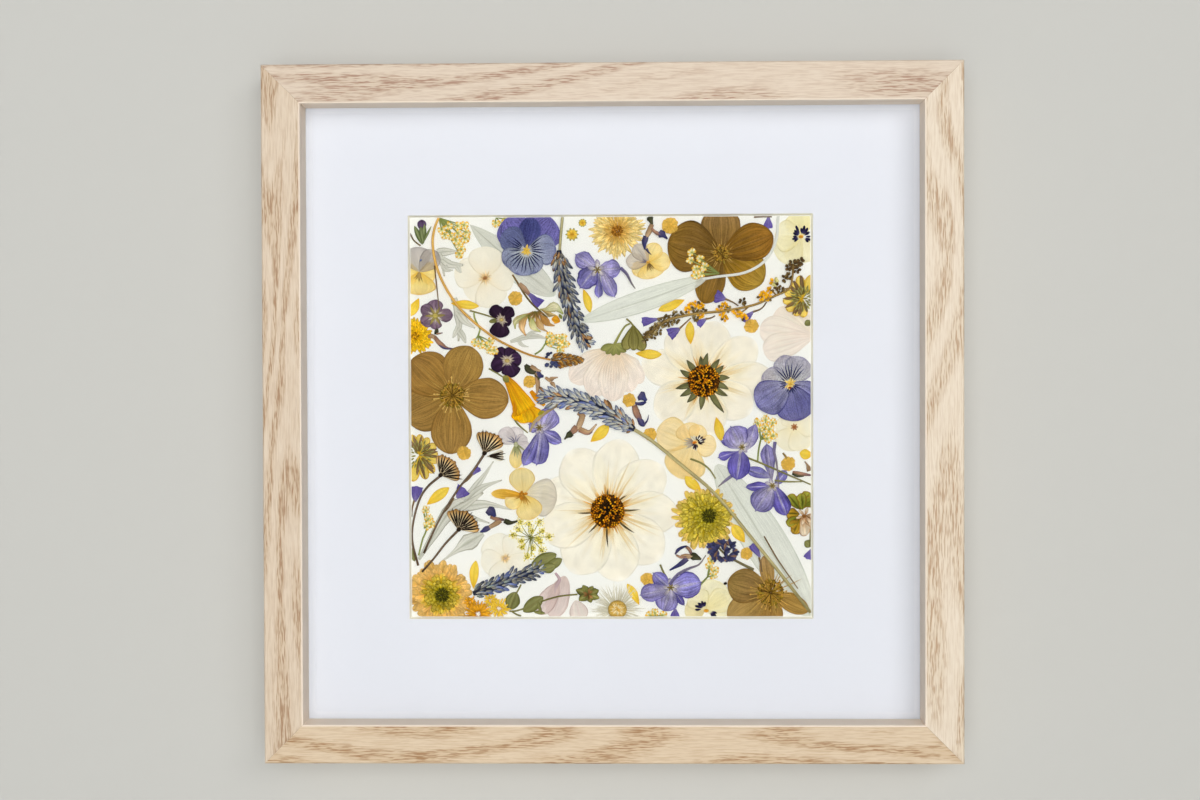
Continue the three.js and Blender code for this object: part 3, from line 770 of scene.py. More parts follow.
def hellebore(name, at, petals, dyes, heart, threads, seed):
    """A large flower of broad veined petals, given as petal() takes them, round a ring of stamens."""
    piece = Pressed(name + "_petals", at, 1, seed)
    for shape, dye in zip(petals, dyes):
        piece.petal(*shape, dye=dye, rows=26, columns=20, step=0.045, ripple=0.035, crease=0.012)
    piece.height += 0.06
    for turn in piece.ring(16, 6):
        foot = turned(heart * 0.35, 0, turn)
        piece.petal(turn, heart * 0.62, heart * 0.34, *foot, 0.7, 0.5, step=0.003, thick=0.15, arch=0.12,
                    rows=5, columns=3, dye=solid("5e4a12 947426 86701c", rim="4a3a10", fibre=0.4, stray=0.3))
    for turn in piece.ring(20, 9):
        foot = turned(heart * 0.7, 0, turn)
        piece.petal(turn, heart * piece.draw(0.7, 1.9), 0.45, *foot, 0.4, 0.8, rows=7, columns=2, thick=0.04,
                    step=0.001, bend=piece.draw(-1, 1),
                    dye=solid("a8843e bc9850 a8843c", fibre=0.2, stray=0.1))
    stamens(piece, heart * 1.45, 26, solid(threads, fibre=0.2, stray=0.25), spread=0.5)
    lumps = 46
    for k in range(lumps):
        share = math.sqrt((k + 0.5) / lumps)
        x, z = turned(heart * 0.98 * share * piece.draw(0.85, 1.1), 0, k * SEED_TURN)
        piece.petal(piece.draw(0, 360), piece.draw(1.3, 2.5), 0.9, x, z, 0.5, 0.6, rows=5, columns=3,
                    thick=0.1, arch=0.14, step=0.002,
                    dye=solid(("6a4c14 8e6a20", "a87c2c cc9c48", "86702a a08c3c")[k % 3], fibre=0.3,
                              stray=0.2))
    stamens(piece, heart * 0.95, 26, solid("8a6a20 c89a3c", fibre=0.3, stray=0.3), inner=0.35)
    stamens(piece, heart * 0.8, 14, solid("3c2a0e 6a4a1c", fibre=0.2, stray=0.3), inner=0.3)
    piece.finish("hellebore", name)


class PICTURE_OT_hellebores(bpy.types.Operator):
    """Lay the large brown hellebores"""

    bl_idname = "picture.hellebores"
    bl_label = "Lay the hellebores"

    def execute(self, context):
        light = replace(BROWN, along="94703a a5803f ab8746", rim="8f6c38")
        dark = replace(BROWN, along="6c501c 7c5c28 886628", rim="6e4f1f", rays="a4804a", ray_depth=0.25,
                       fibre=0.5)
        amber = replace(dark, along="6a4a14 845e1e 986a28")
        green = replace(dark, along="7a5a1c 9a7420 b08e3a", rim="8a6a1c", fibre=0.6)
        hellebore("hellebore_left", (-75.5, 10.5), (
            (205, 25, 22), (138, 26, 23), (268, 28, 19.5), (69, 25, 19.5), (355, 27, 20),
        ), (BROWN, replace(BROWN, along="8a672c 987236 96713a"), BROWN, light, BROWN), 6.2,
            "bc9038 e8c878", 11)
        hellebore("hellebore_top", (53, 77.5), (
            (250, 25, 14), (325, 24, 19), (91, 22, 19), (20, 26, 18), (167, 26, 25),
        ), (dark, green, replace(dark, along="7c5a2a 8a6a36 94744a"), amber, dark), 3.6, "5a4018 8a6428", 12)
        hellebore("hellebore_low", (76, -84), (
            (262, 16, 15), (334, 20, 9), (99, 18, 7), (214, 24, 15), (165, 21, 17),
        ), (BROWN, light, replace(light, along="9a7440 ab8850 b39060"),
            replace(light, along="957438 a9884c b29258"), replace(BROWN, along="7e602e 8e7040 947840")), 6.6,
            "a87c28 e4b860", 13)
        return {"FINISHED"}


def disc_florets(piece, radius, count, high, colours):
    """The domed middle of a cosmos: florets in the two-way spiral of a seed head."""
    fine_turn = 137.508
    for k in range(count):
        share = math.sqrt((k + 0.5) / count)
        x, z = turned(radius * share, 0, k * fine_turn)
        colour = colours[0] if piece.draw() < 0.64 - 0.16 * share else colours[1]
        if piece.draw() < 0.25:
            colour = colours[2]
        size = (0.56 if colour == colours[0] else 0.66) * piece.draw(0.85, 1.15)
        piece.bud(x, z, size, size * 0.72, k * fine_turn + piece.draw(-20, 20),
                  0.18 + 0.2 * piece.draw(), solid(colour, fibre=0.3, stray=0.3),
                  sides=6, raised=high * (1 - share**2))


# the rim is painted lighter than the petal: a painted highlight that offsets the shade along the thin petals'
# edges
CREAM = Dye("f5e9ca f8f0dc f9f3e3 f8f0de", rim="fdf8ec", rim_from=0.92, rays="eedcb4", ray_count=9,
            ray_to=0.8, ray_depth=0.22, fibre=0.025, sheer=0.3, stray=0.01)


def cosmos(name, at, petals, dye, radius, bracts, rays, florets, seed):
    """A wide pale flower: thin petals with tan streaks, narrow bracts and a domed disc.

    Bracts are (turn, length, width, colours), rays (turn, length).
    """
    streak = Dye("e4bc7c efd4a0 f2dfb6 f4e7cb f5edda", fibre=0.05, mottle=0.02, sheer=0.1, stray=0.03)
    piece = Pressed(name + "_petals", at, 0, seed)
    for shape in petals:
        piece.petal(*shape, dye=dye, rows=22, columns=14, thick=0.03, step=0.007, ripple=0.05, notch=1.2)
    piece.height += 0.03
    for turn, length in rays:
        for _ in range(6):
            side = piece.draw(-5.5, 5.5)
            foot = turned(radius * 0.8, 0, turn + side)
            piece.petal(turn + side * 1.15 + piece.draw(-1, 1), length * piece.draw(0.35, 1.0),
                        piece.draw(0.5, 1.1), *foot, 0.25, 0.9, step=0.0006, thick=0.02, rows=8, columns=2,
                        bend=piece.draw(-0.7, 0.7), dye=streak)
    for turn in piece.ring(48, 3):
        foot = turned(radius * 0.8, 0, turn)
        piece.petal(turn, piece.draw(2.0, 7.0), piece.draw(0.6, 1.1), *foot, 0.4, 0.8, step=0.001,
                    thick=0.03, rows=5, columns=2, dye=solid("bc7c20 e0a850 edcc98", fibre=0.1, stray=0.12))
    for turn, length, width, colours in bracts:
        foot = turned(radius * 0.7, 0, turn)
        piece.petal(turn, length - radius * 0.7, width, *foot, 0.35, 0.75, step=0.002, thick=0.08, arch=0.08,
                    rows=8, columns=4, bend=piece.draw(-0.8, 0.8),
                    dye=solid(colours, rim="4d452c", fibre=0.35, stray=0.1))
    piece.height += 0.02
    piece.bud(0, 0, radius * 0.98, radius * 0.98, 0, 0.62, solid("140c04 301c04 6a3e08"), sides=28, rings=5)
    disc_florets(piece, radius * 0.97, florets, 0.6, ("0e0802", "c47406", "f0a818"))
    piece.finish("cosmos", name)


class PICTURE_OT_cosmos(bpy.types.Operator):
    """Lay the two cream cosmos with their domed discs"""

    bl_idname = "picture.cosmos"
    bl_label = "Lay the cosmos"

    def execute(self, context):
        florets = context.scene.pressed_picture.disc_florets
        dark = "8a6a34 5c4e34 4c4434"
        cosmos("cosmos_centre", (-1.5, -45), (
            (162, 33, 22), (122, 34, 24), (79, 35, 23), (39, 34, 23), (357, 34, 21), (318, 34, 23),
            (280, 34, 23), (240, 34, 24), (200, 33, 22),
        ), CREAM, 8.3, [
            (185, 14.5, 0.9, dark), (2, 15.5, 0.9, dark), (42, 12, 0.8, dark), (90, 11, 0.8, dark),
            (230, 14, 0.9, dark), (268, 17.5, 1.0, dark), (318, 16.5, 1.0, dark),
        ], [(145, 22), (95, 20), (60, 25), (20, 26), (-22, 27), (-55, 26), (-95, 20), (215, 26), (180, 24),
            (162, 14), (122, 12), (79, 13), (39, 14), (357, 14), (318, 13), (280, 12), (240, 14), (200, 13)],
            florets, 21)
        leafy = "6d6a3c 77764e 57553c"
        cosmos("cosmos_right", (44.5, 17), (
            (162, 31, 18), (122, 29, 19), (78, 29, 20), (37, 31, 18), (2, 34, 17), (326, 27, 19),
            (276, 26, 20), (216, 28, 20),
        ), replace(CREAM, along="f7e5bc f8edd0 f8f0de f6eedc"), 7.9, [
            (turn, reach, 3.0, leafy) for turn, reach in (
                (55, 13), (85, 13.5), (97, 12), (130, 13), (158, 12.5), (195, 14), (215, 13.5), (235, 13),
                (265, 14), (300, 18), (325, 13.5), (345, 12.5), (10, 12.5), (35, 12))
        ], [(142, 22), (100, 16), (58, 18), (20, 22), (-17, 20), (-58, 16), (246, 18), (190, 22)], florets,
            22)
        return {"FINISHED"}


def ringed(piece, radius, rings, dyes, blunt=0.5, width=1.0, fold=0.03, count=34, inner=0.82, heart=(0, 0)):
    """A many-petalled head: rings of narrow petals, each ring shorter than the one beneath it."""
    for k in range(rings):
        share = k / max(rings - 1, 1)
        reach = radius * (1 - inner * share)
        number = max(8, int(count * (1 - 0.5 * share)))
        dye = dyes[min(int(share * len(dyes)), len(dyes) - 1)]
        for j in range(number):
            turn = 360 * (j + 0.5 * (k % 2) + piece.draw(-0.3, 0.3)) / number
            length = reach * piece.draw(0.84, 1.03)
            start = length * 0.25
            x, z = turned(start, 0, turn)
            piece.petal(turn + piece.draw(-8, 8), length - start,
                        width * piece.draw(0.8, 1.2) * (1 - 0.55 * share), x + heart[0] * share,
                        z + heart[1] * share, 0.74, blunt, dye=dye, rows=7, columns=4, thick=0.05, arch=fold,
                        step=0.003, bend=piece.draw(-0.6, 0.6), notch=0.35)


class PICTURE_OT_many_petalled(bpy.types.Operator):
    """Lay the chrysanthemums, asters and daisies"""

    bl_idname = "picture.many_petalled"
    bl_label = "Lay the many-petalled heads"

    def execute(self, context):
        # the rim is paler than the petal: partly the petals' own paler edges, partly painted light that
        # softens the shade along their edges
        gold = Dye("b47e1e d69a34 e0ac50 eac278", rim="dab068", rim_from=0.75, fibre=0.4, mottle=0.16,
                   sheer=0.05, stray=0.08)
        lime = Dye("7c6c04 b49a0c d8be2c eadc6c", rim="94800c", rim_from=0.5, fibre=0.5, sheer=0.05,
                   stray=0.18)
        olive = replace(lime, along="545004 948408 c0ac1c e0d25c", rim="746804")
        moss = replace(lime, along="303004 605a08 989018 ccbc3c", rim="484404", stray=0.28)
        for name, at, radius, dyes, heart, seed, width, blunt, count in (
            ("chrysanthemum_left", (-82, -84.5), 16.8,
             (gold, gold, gold, replace(gold, along="a07408 d0980c e4b830 ecd060"), lime, olive, olive,
              moss),
             (1.3, -0.4), 31, 3.4, 0.34, 27),
            ("chrysanthemum_right", (44.2, -48.5), 15.6, (
                replace(gold, along="a8880c ccaa28 dcbc48 e6cc6c"),
                replace(lime, along="948010 c4ac1c dcc23c ead868"), lime, lime,
                olive, olive, moss), (2.6, 1.2), 32, 2.7, 0.4, 34),
        ):
            piece = Pressed(name + "_petals", at, 1, seed)
            ringed(piece, radius, 11, dyes, width=width, count=count, blunt=blunt, inner=0.86, heart=heart)
            for _, turn, x, z in spiral(2.3, 34):
                piece.petal(turn, 1.8, 0.8, x + heart[0], z + heart[1], 0.6, 0.6, rows=5, columns=3,
                            thick=0.1, arch=0.1, step=0.002,
                            dye=solid("24240a 3c3a0e 6a6418", fibre=0.4, stray=0.3))
            piece.bud(*heart, 0.9, 0.8, 0, 0.2, solid("2c2a0a 4a4610"))
            piece.finish("chrysanthemum", name)
        piece = Pressed("aster_top_petals", (3.5, 88.5), 0, 33)
        straw = Dye("c09a34 e0bc58 f2da90 f8e8b0", rim="d4ac4c", rim_from=0.5, fibre=0.4, sheer=0.1,
                    stray=0.1)
        ringed(piece, 13.8, 9, (straw, straw, replace(straw, along="a87228 cf9c44 e6c478 eed498"),
                                replace(straw, along="8a5618 b47c2c d8a858 e4bc70"),
                                replace(straw, along="70420e 9c6420 c48c3c d49c4c")), width=1.5, blunt=0.7,
               count=46)
        for k, _, x, z in spiral(2.6, 60):
            piece.bud(x, z, 0.4, high=0.2, dye=solid("8a5818" if k % 3 else "c08430", stray=0.25), sides=6)
        piece.finish("aster", "aster_top")
        piece = Pressed("aster_left_petals", (-93, 39), 0, 34)
        yolk = Dye("c48800 f0b400 ffd014 ffe040", rim="d89a08", rim_from=0.4, fibre=0.4, sheer=0.05,
                   stray=0.14)
        ringed(piece, 9.0, 10, (yolk, yolk, replace(yolk, along="a06c00 dc9c00 f4bc08 f8d028")), width=1.7,
               blunt=0.5, count=32, inner=0.9)
        for k, _, x, z in spiral(1.8, 26):
            piece.bud(x, z, 0.42, high=0.2, dye=solid("9c6a0c" if k % 2 else "d8a01c", stray=0.25), sides=6)
        piece.finish("aster", "aster_left")
        self.daisies()
        return {"FINISHED"}

    def daisies(self):
        """The two yellow daisies and the white one."""
        lemon = Dye("d4ac28 e8c858 f0d470", rim="c89c28", rim_from=0.55, fibre=0.25, sheer=0.2, stray=0.07)
        husk = solid("6e5a2c 7d6540 8a6a52", rim="5a4630", fibre=0.4, stray=0.2)
        moss = solid("7c7a34 949052 a8a068", fibre=0.4, stray=0.25)
        for name, at, layer, petals, heart, seed in (
            ("daisy_left", (-91.5, -18), 0, (
                (112, 10.5, 4), (88, 10, 4), (62, 9.5, 4), (32, 9.5, 4.5), (4, 9, 4), (340, 9.5, 4),
                (310, 11, 4.5), (286, 12, 4.5), (255, 13, 5),
            ), 5.5, 41),
            ("daisy_right", (91.5, 56), 2, (
                (68, 12, 4.5), (98, 11, 4.5), (125, 9, 4.5), (160, 9, 4), (188, 9.5, 4), (216, 9.5, 4.5),
                (246, 9, 4.5), (272, 9, 4.5),
            ), 4.5, 42),
        ):
            piece = Pressed(name + "_petals", at, layer, seed)
            for turn, length, width in petals:
                piece.petal(turn, length, width, 0, 0, 0.7, 0.45, dye=lemon, rows=12, columns=8, step=0.015,
                            ripple=0.05, notch=0.6)
            for turn, length, width in petals:
                for _ in range(2):
                    foot = turned(1.5, 0, turn + 17)
                    piece.petal(turn + 17 + piece.draw(-14, 14), length * piece.draw(0.55, 0.9), 1.6,
                                *foot, 0.5, 0.7, dye=husk, rows=7, columns=3, arch=0.12, step=0.004)
            for _, turn, x, z in spiral(heart, 46):
                piece.petal(turn, 2.4, 0.9, x, z, 0.5, 0.7, dye=moss, rows=4, columns=2, arch=0.12,
                            step=0.001)
            piece.finish("daisy", name)
        piece = Pressed("daisy_white_hairs", (3, -92), 1, 43)
        hair = Dye("c9c0a0 dcd6c2 e9e5d8", fibre=0.1, sheer=0.1, stray=0.06)
        for turn in piece.ring(150, 3):
            foot = turned(3.5, 0, turn)
            piece.petal(turn + piece.draw(-8, 8), piece.draw(5, 10.5), 0.38, *foot, 0.5, 0.5,
                        dye=hair, rows=4, columns=2, thick=0.05, step=0.0015, bend=piece.draw(-1, 1))
        piece.bud(0, 0, 4.5, 4.5, 0, 0.5, solid("c79a3c d2a84e b8964a", fibre=0.4), sides=20, rings=4)
        for k, _, x, z in spiral(4.4, 90):
            piece.bud(x, z, 0.34, high=0.2, raised=0.45 * (1 - k / 100), sides=5,
                      dye=solid("d8b258" if k < 55 else "b99f5c", stray=0.2))
        piece.height += 0.5
        for turn in piece.ring(22, 4):
            foot = turned(piece.draw(0.4, 1.6), 0, turn)
            piece.petal(turn, piece.draw(1.4, 2.3), 0.42, *foot, 0.5, 0.5, rows=4, columns=2, thick=0.06,
                        arch=0.06, step=0.001, dye=solid("f2e6c0 ecd69a", stray=0.1))
        piece.finish("daisy", "daisy_white")


# ---- Pansies and violas --------------------------------------------------------------------------


def whiskers(piece, x, z, turns, near, far, width, dye, bend=0.6):
    """Thin rays drawn from a flower's eye."""
    for turn in turns:
        foot = turned(near, 0, turn)
        piece.petal(turn + piece.draw(-2, 2), far * piece.draw(0.8, 1.1) - near, width * 1.35,
                    x + foot[0], z + foot[1], 0.35, 0.7, dye=dye, rows=8, columns=2, thick=0.02, step=0.0008,
                    bend=piece.draw(-bend, bend))


def bloom(name, at, layer, petals, dyes, slot, seed, rows=20, columns=16, extras=None, step=0.04, ripple=0.05,
          notch=0.5, **more):
    """A flower of a few broad petals, each given as petal() takes it and with a dye of its own."""
    piece = Pressed(name + "_petals", at, layer, seed)
    for shape, dye in zip(petals, dyes):
        piece.petal(*shape, dye=dye, rows=rows, columns=columns, step=step, ripple=ripple, notch=notch,
                    **more)
    if extras:
        piece.height += 0.07
        extras(piece)
    piece.finish(slot, name)


class PICTURE_OT_pansies(bpy.types.Operator):
    """Lay the pansies with their rays and eyes"""

    bl_idname = "picture.pansies"
    bl_label = "Lay the pansies"

    def execute(self, context):
        ink = Dye("23264c 2e3260 4a4e7c", fibre=0.1, sheer=0.2, stray=0.1)
        blue = Dye("ccd0ce b0b6c0 9096b0 9094b4", rim="5c628e", rim_from=0.9, rays="5c6290", ray_count=13,
                   ray_from=0.1, ray_to=0.8, ray_depth=0.3, fibre=0.26, sheer=0.2, stray=0.04)
        violet = replace(blue, along="7a78a4 7270aa 6c66a4 7068a8", rim="6a62a8", rays="544c90", fibre=0.4)

        def blue_eye(piece):
            pale = Dye("d8d8cc c4c8d0 8a92ac", fibre=0.2, sheer=0.2, stray=0.05)
            whiskers(piece, 0, 0, (196, 208, 222, 235, 248, 262, 276, 290, 303, 316, 330), 1.0, 8.4, 1.1,
                     pale)
            whiskers(piece, 0, 0, (138, 148, 160, 172, 10, 22, 36), 1.0, 5.4, 0.8, pale)
            whiskers(piece, 0, 0, (133, 143, 154, 166, 178, 18, 4, -8, 30, 42), 2.6, 9.0, 0.46, ink)
            whiskers(piece, 0, 0, (202, 215, 228, 241, 255, 269, 283, 297, 310, 323, 336), 3.2, 10.4, 0.46,
                     ink)
            yolk = solid("e2b33c f0cf6c", fibre=0.1, stray=0.06)
            for turn in (80, 150, 205, 235, 262, 290, 320, 10):
                piece.petal(turn + piece.draw(-8, 8), piece.draw(1.8, 3.0), 1.2, 0, 0, 0.45, 0.7,
                            dye=yolk, rows=6, columns=3, thick=0.05, step=0.002)

        bloom("pansy_blue", (-39.8, 79.5), 2, (
            (122, 18, 17), (52, 19.5, 20), (80, 16, 11), (142, 14.2, 12.5, 0, 0, 0.64),
            (2, 14.2, 14.5, 0, 0, 0.64), (208, 12.6, 11.5, 0, 0, 0.66), (292, 11.8, 11, 0, 0, 0.66),
            (248, 12.4, 14, 0, 0, 0.64),
        ), (violet, violet, replace(violet, along="646896 4e5284 484c80 50548a"),
            replace(blue, along="8e94b0 767c9e 686e96 72789e"), blue, blue, blue, blue), "pansy_blue", 51,
            extras=blue_eye, rows=26, columns=22)
        grey = Dye("cec6b8 c8c0b4 c4bcb4 bcb4b0", rim="aca4a0", rim_from=0.85, rays="8c8690", ray_count=9,
                   ray_to=0.8, ray_depth=0.25, fibre=0.12, sheer=0.5, stray=0.04)
        butter = Dye("ecc654 f2d87e f4dc90 f0d288", rim="e4bd6c", rim_from=0.85, rays="dfae4c", ray_count=7,
                     ray_to=0.6, ray_depth=0.3, fibre=0.1, sheer=0.4, stray=0.03)

        def left_eye(piece):
            whiskers(piece, 0, 0, (250, 262, 274, 286, 235), 1, 5, 0.4, Dye("7a6440 a08850", sheer=0.2))
            piece.petal(268, 3.2, 2.2, 0, 0, 0.5, 0.6, dye=solid("a88c5c c8a860"), rows=6, columns=3,
                        thick=0.03, step=0.002)
            piece.petal(45, 1.6, 0.9, 0.2, 5.0, 0.5, 0.6, dye=solid("5c6a9c 7c86a8"), rows=4, columns=2,
                        thick=0.02, step=0.002)

        bloom("pansy_left", (-91, 69.5), 1, (
            (355, 8, 11), (190, 6, 10), (268, 11, 16), (100, 12, 14), (48, 13, 10),
        ), (butter, butter, butter, grey, grey), "pansy_pale", 52, extras=left_eye)
        mist = Dye("d0cec6 c4c2c2 b8b4bc b0acbc", rim="9a96b0", rim_from=0.85, rays="7c7c9c", ray_count=9,
                   ray_to=0.95, ray_depth=0.3, fibre=0.14, sheer=0.45, stray=0.03)
        plum = replace(mist, along="b4b2c2 9492b0 7e7ca6 8280ac", rim="504c8e", rim_from=0.86, rays="605e98",
                       ray_depth=0.45, mottle=0.22, sheer=0.3, fibre=0.3)

        def right_eye(piece):
            whiskers(piece, 0, 0, (40, 54, 66, 78, 90, 102, 114, 126, 140), 1.6, 9, 0.8,
                     Dye("d4d0c4 c4c2c0 b0b0b8", sheer=0.2))
            whiskers(piece, 0, 0, (47, 60, 72, 84, 96, 108, 120, 133), 2.2, 11, 0.45, ink)
            whiskers(piece, 0, 0, (150, 165, 180, 195, 210, 250, 262, 274, 286, 298, 320, 335, 350), 2, 5.5,
                     0.4, ink)
            for turn in (30, 60, 85, 110, 150, 215, 240, 262, 285, 310, 350):
                piece.petal(turn, piece.draw(1.8, 3.4), 1.1, 0, 0, 0.45, 0.7, rows=6, columns=3, thick=0.05,
                            dye=solid("dfae36 f0d88c", stray=0.08), step=0.002)
            piece.bud(-0.2, -1.8, 0.9, 0.6, 0, 0.15, solid("8a3a20"))

        bloom("pansy_right", (85.5, 15.5), 2, (
            (104, 14, 12), (62, 14, 14), (165, 14, 12), (330, 14, 12), (284, 18, 19), (214, 19, 17),
        ), (mist, mist, mist, plum, replace(plum, along="8e8cac 76749e 6a689a 706ea2"), plum), "pansy_blue",
            53, extras=right_eye, rows=26, columns=22)
        self.creams()
        return {"FINISHED"}

    def creams(self):
        """The two cream pansies and the yellow one."""
        cream = Dye("f0e6b8 f2eac4 f3ecca f2ebc8", rim="ece2b8", rim_from=0.85, rays="e6d8a0", ray_count=9,
                    ray_to=0.9, ray_depth=0.3, fibre=0.05, sheer=0.3, stray=0.02)

        def blotches(places, middle):
            def lay(piece):
                for x, z, turn, length, width in places:
                    piece.petal(turn, length, width, x, z, 0.6, 0.5, dye=solid("46406a 1e1a38 1c1836"),
                                rows=7, columns=5, thick=0.03, step=0.002, ripple=0.2)
                piece.bud(*middle, 1.3, 0.9, 0, 0.2, solid("d98a22 e8b24c"))
            return lay

        bloom("pansy_cream_top", (91, 85), 0, (
            (275, 12, 18), (225, 15, 16), (100, 12, 14), (175, 12.5, 16),
        ), (cream, cream, replace(cream, along="e8d894 efe4ae f0e8bc"), cream), "pansy_pale", 54,
            extras=blotches([
                (-1.2, 1.2, 132, 3.2, 1.4), (-1.0, 1.6, 112, 4.4, 1.5), (-1.4, 1.0, 154, 2.8, 1.3),
                (0.6, 1.6, 78, 4.2, 1.5), (1.0, 1.4, 58, 3.8, 1.6), (0.2, 1.8, 96, 2.8, 1.2),
                (1.4, 1.0, 34, 3.0, 1.3), (-1.6, 0, 196, 3.0, 1.2), (-1.4, -0.4, 216, 2.6, 1.1),
                (-1.8, 0.4, 176, 2.2, 1.0), (1.8, -0.2, 338, 3.0, 1.2), (1.6, -0.6, 318, 2.4, 1.1),
                (2.0, 0.4, 2, 2.4, 1.0),
            ], (-0.2, 0.4)))
        bloom("pansy_cream_low", (45, -92), 0, (
            (60, 15, 17), (10, 12, 14), (30, 14, 12), (190, 10, 11), (125, 10, 12),
        ), (cream, cream, cream, replace(cream, along="dcc890 e6d8a8 e9dcb0"), cream), "pansy_pale", 55,
            extras=blotches([
                (-1, 1, 140, 3.4, 1.4), (-1.4, 0.6, 160, 3.8, 1.4), (-2, 0, 182, 3.0, 1.3),
                (-0.6, 1.2, 112, 3.2, 1.3), (-0.2, 1.4, 90, 2.4, 1.1), (2.5, -1.5, 296, 3.0, 1.3),
                (2.8, -1.3, 318, 3.2, 1.3), (3, -1, 342, 2.6, 1.1),
            ], (0.4, -0.6)))
        maize = Dye("f4d890 f8e0a8 f8e2b0 f6dca8", rim="ecd49c", rim_from=0.85, rays="e2c078", ray_count=9,
                    ray_to=0.9, ray_depth=0.35, fibre=0.08, sheer=0.45, stray=0.03)

        def yellow_eye(piece):
            whiskers(piece, 1.4, 0.2, (150, 166, 180, 192, 204, 216), 1.2, 6, 0.7,
                     Dye("8c7c74 b4a898 d8ccac", sheer=0.1))
            whiskers(piece, 1.6, 0.3, (98, 112, 128, 238, 250, 262, 274), 1.2, 4.2, 0.8,
                     Dye("e8e2d0 eee6d0", sheer=0.1))
            for turn, length, width in ((2, 4.2, 1.1), (20, 5.0, 1.2), (40, 4.4, 1.1), (62, 4.0, 1.0),
                                        (88, 3.0, 0.8), (344, 3.2, 0.9), (244, 3.6, 0.9), (264, 3.8, 0.9),
                                        (222, 2.6, 0.7), (286, 2.8, 0.7)):
                foot = turned(0.8, 0, turn)
                piece.petal(turn, length - 0.8, width, 1.8 + foot[0], 0.3 + foot[1], 0.55, 0.7, rows=8,
                            columns=4, thick=0.04, dye=solid("1e1826 2e2230 5c4a4c", stray=0.2), step=0.003,
                            ripple=0.2)
            for turn in (11, 30, 51, 75):
                piece.petal(turn, 1.7, 0.6, *(a + b for a, b in zip((1.8, 0.3), turned(1.6, 0, turn))), 0.5,
                            0.7, rows=4, columns=3, thick=0.03, dye=solid("ece6d6"), step=0.002)
            piece.bud(1.0, 0.2, 1.2, 0.7, 10, 0.25, solid("c05a1c e09030"))

        bloom("pansy_yellow", (39, -12.5), 1, (
            (250, 18, 20), (158, 18, 17), (350, 11.5, 11), (110, 10, 12), (62, 9.5, 9),
        ), (replace(maize, along="f2dca8 f2daa2 f0d294 f0d292", sheer=0.3), maize, maize, maize, maize),
            "pansy_pale", 56, extras=yellow_eye)


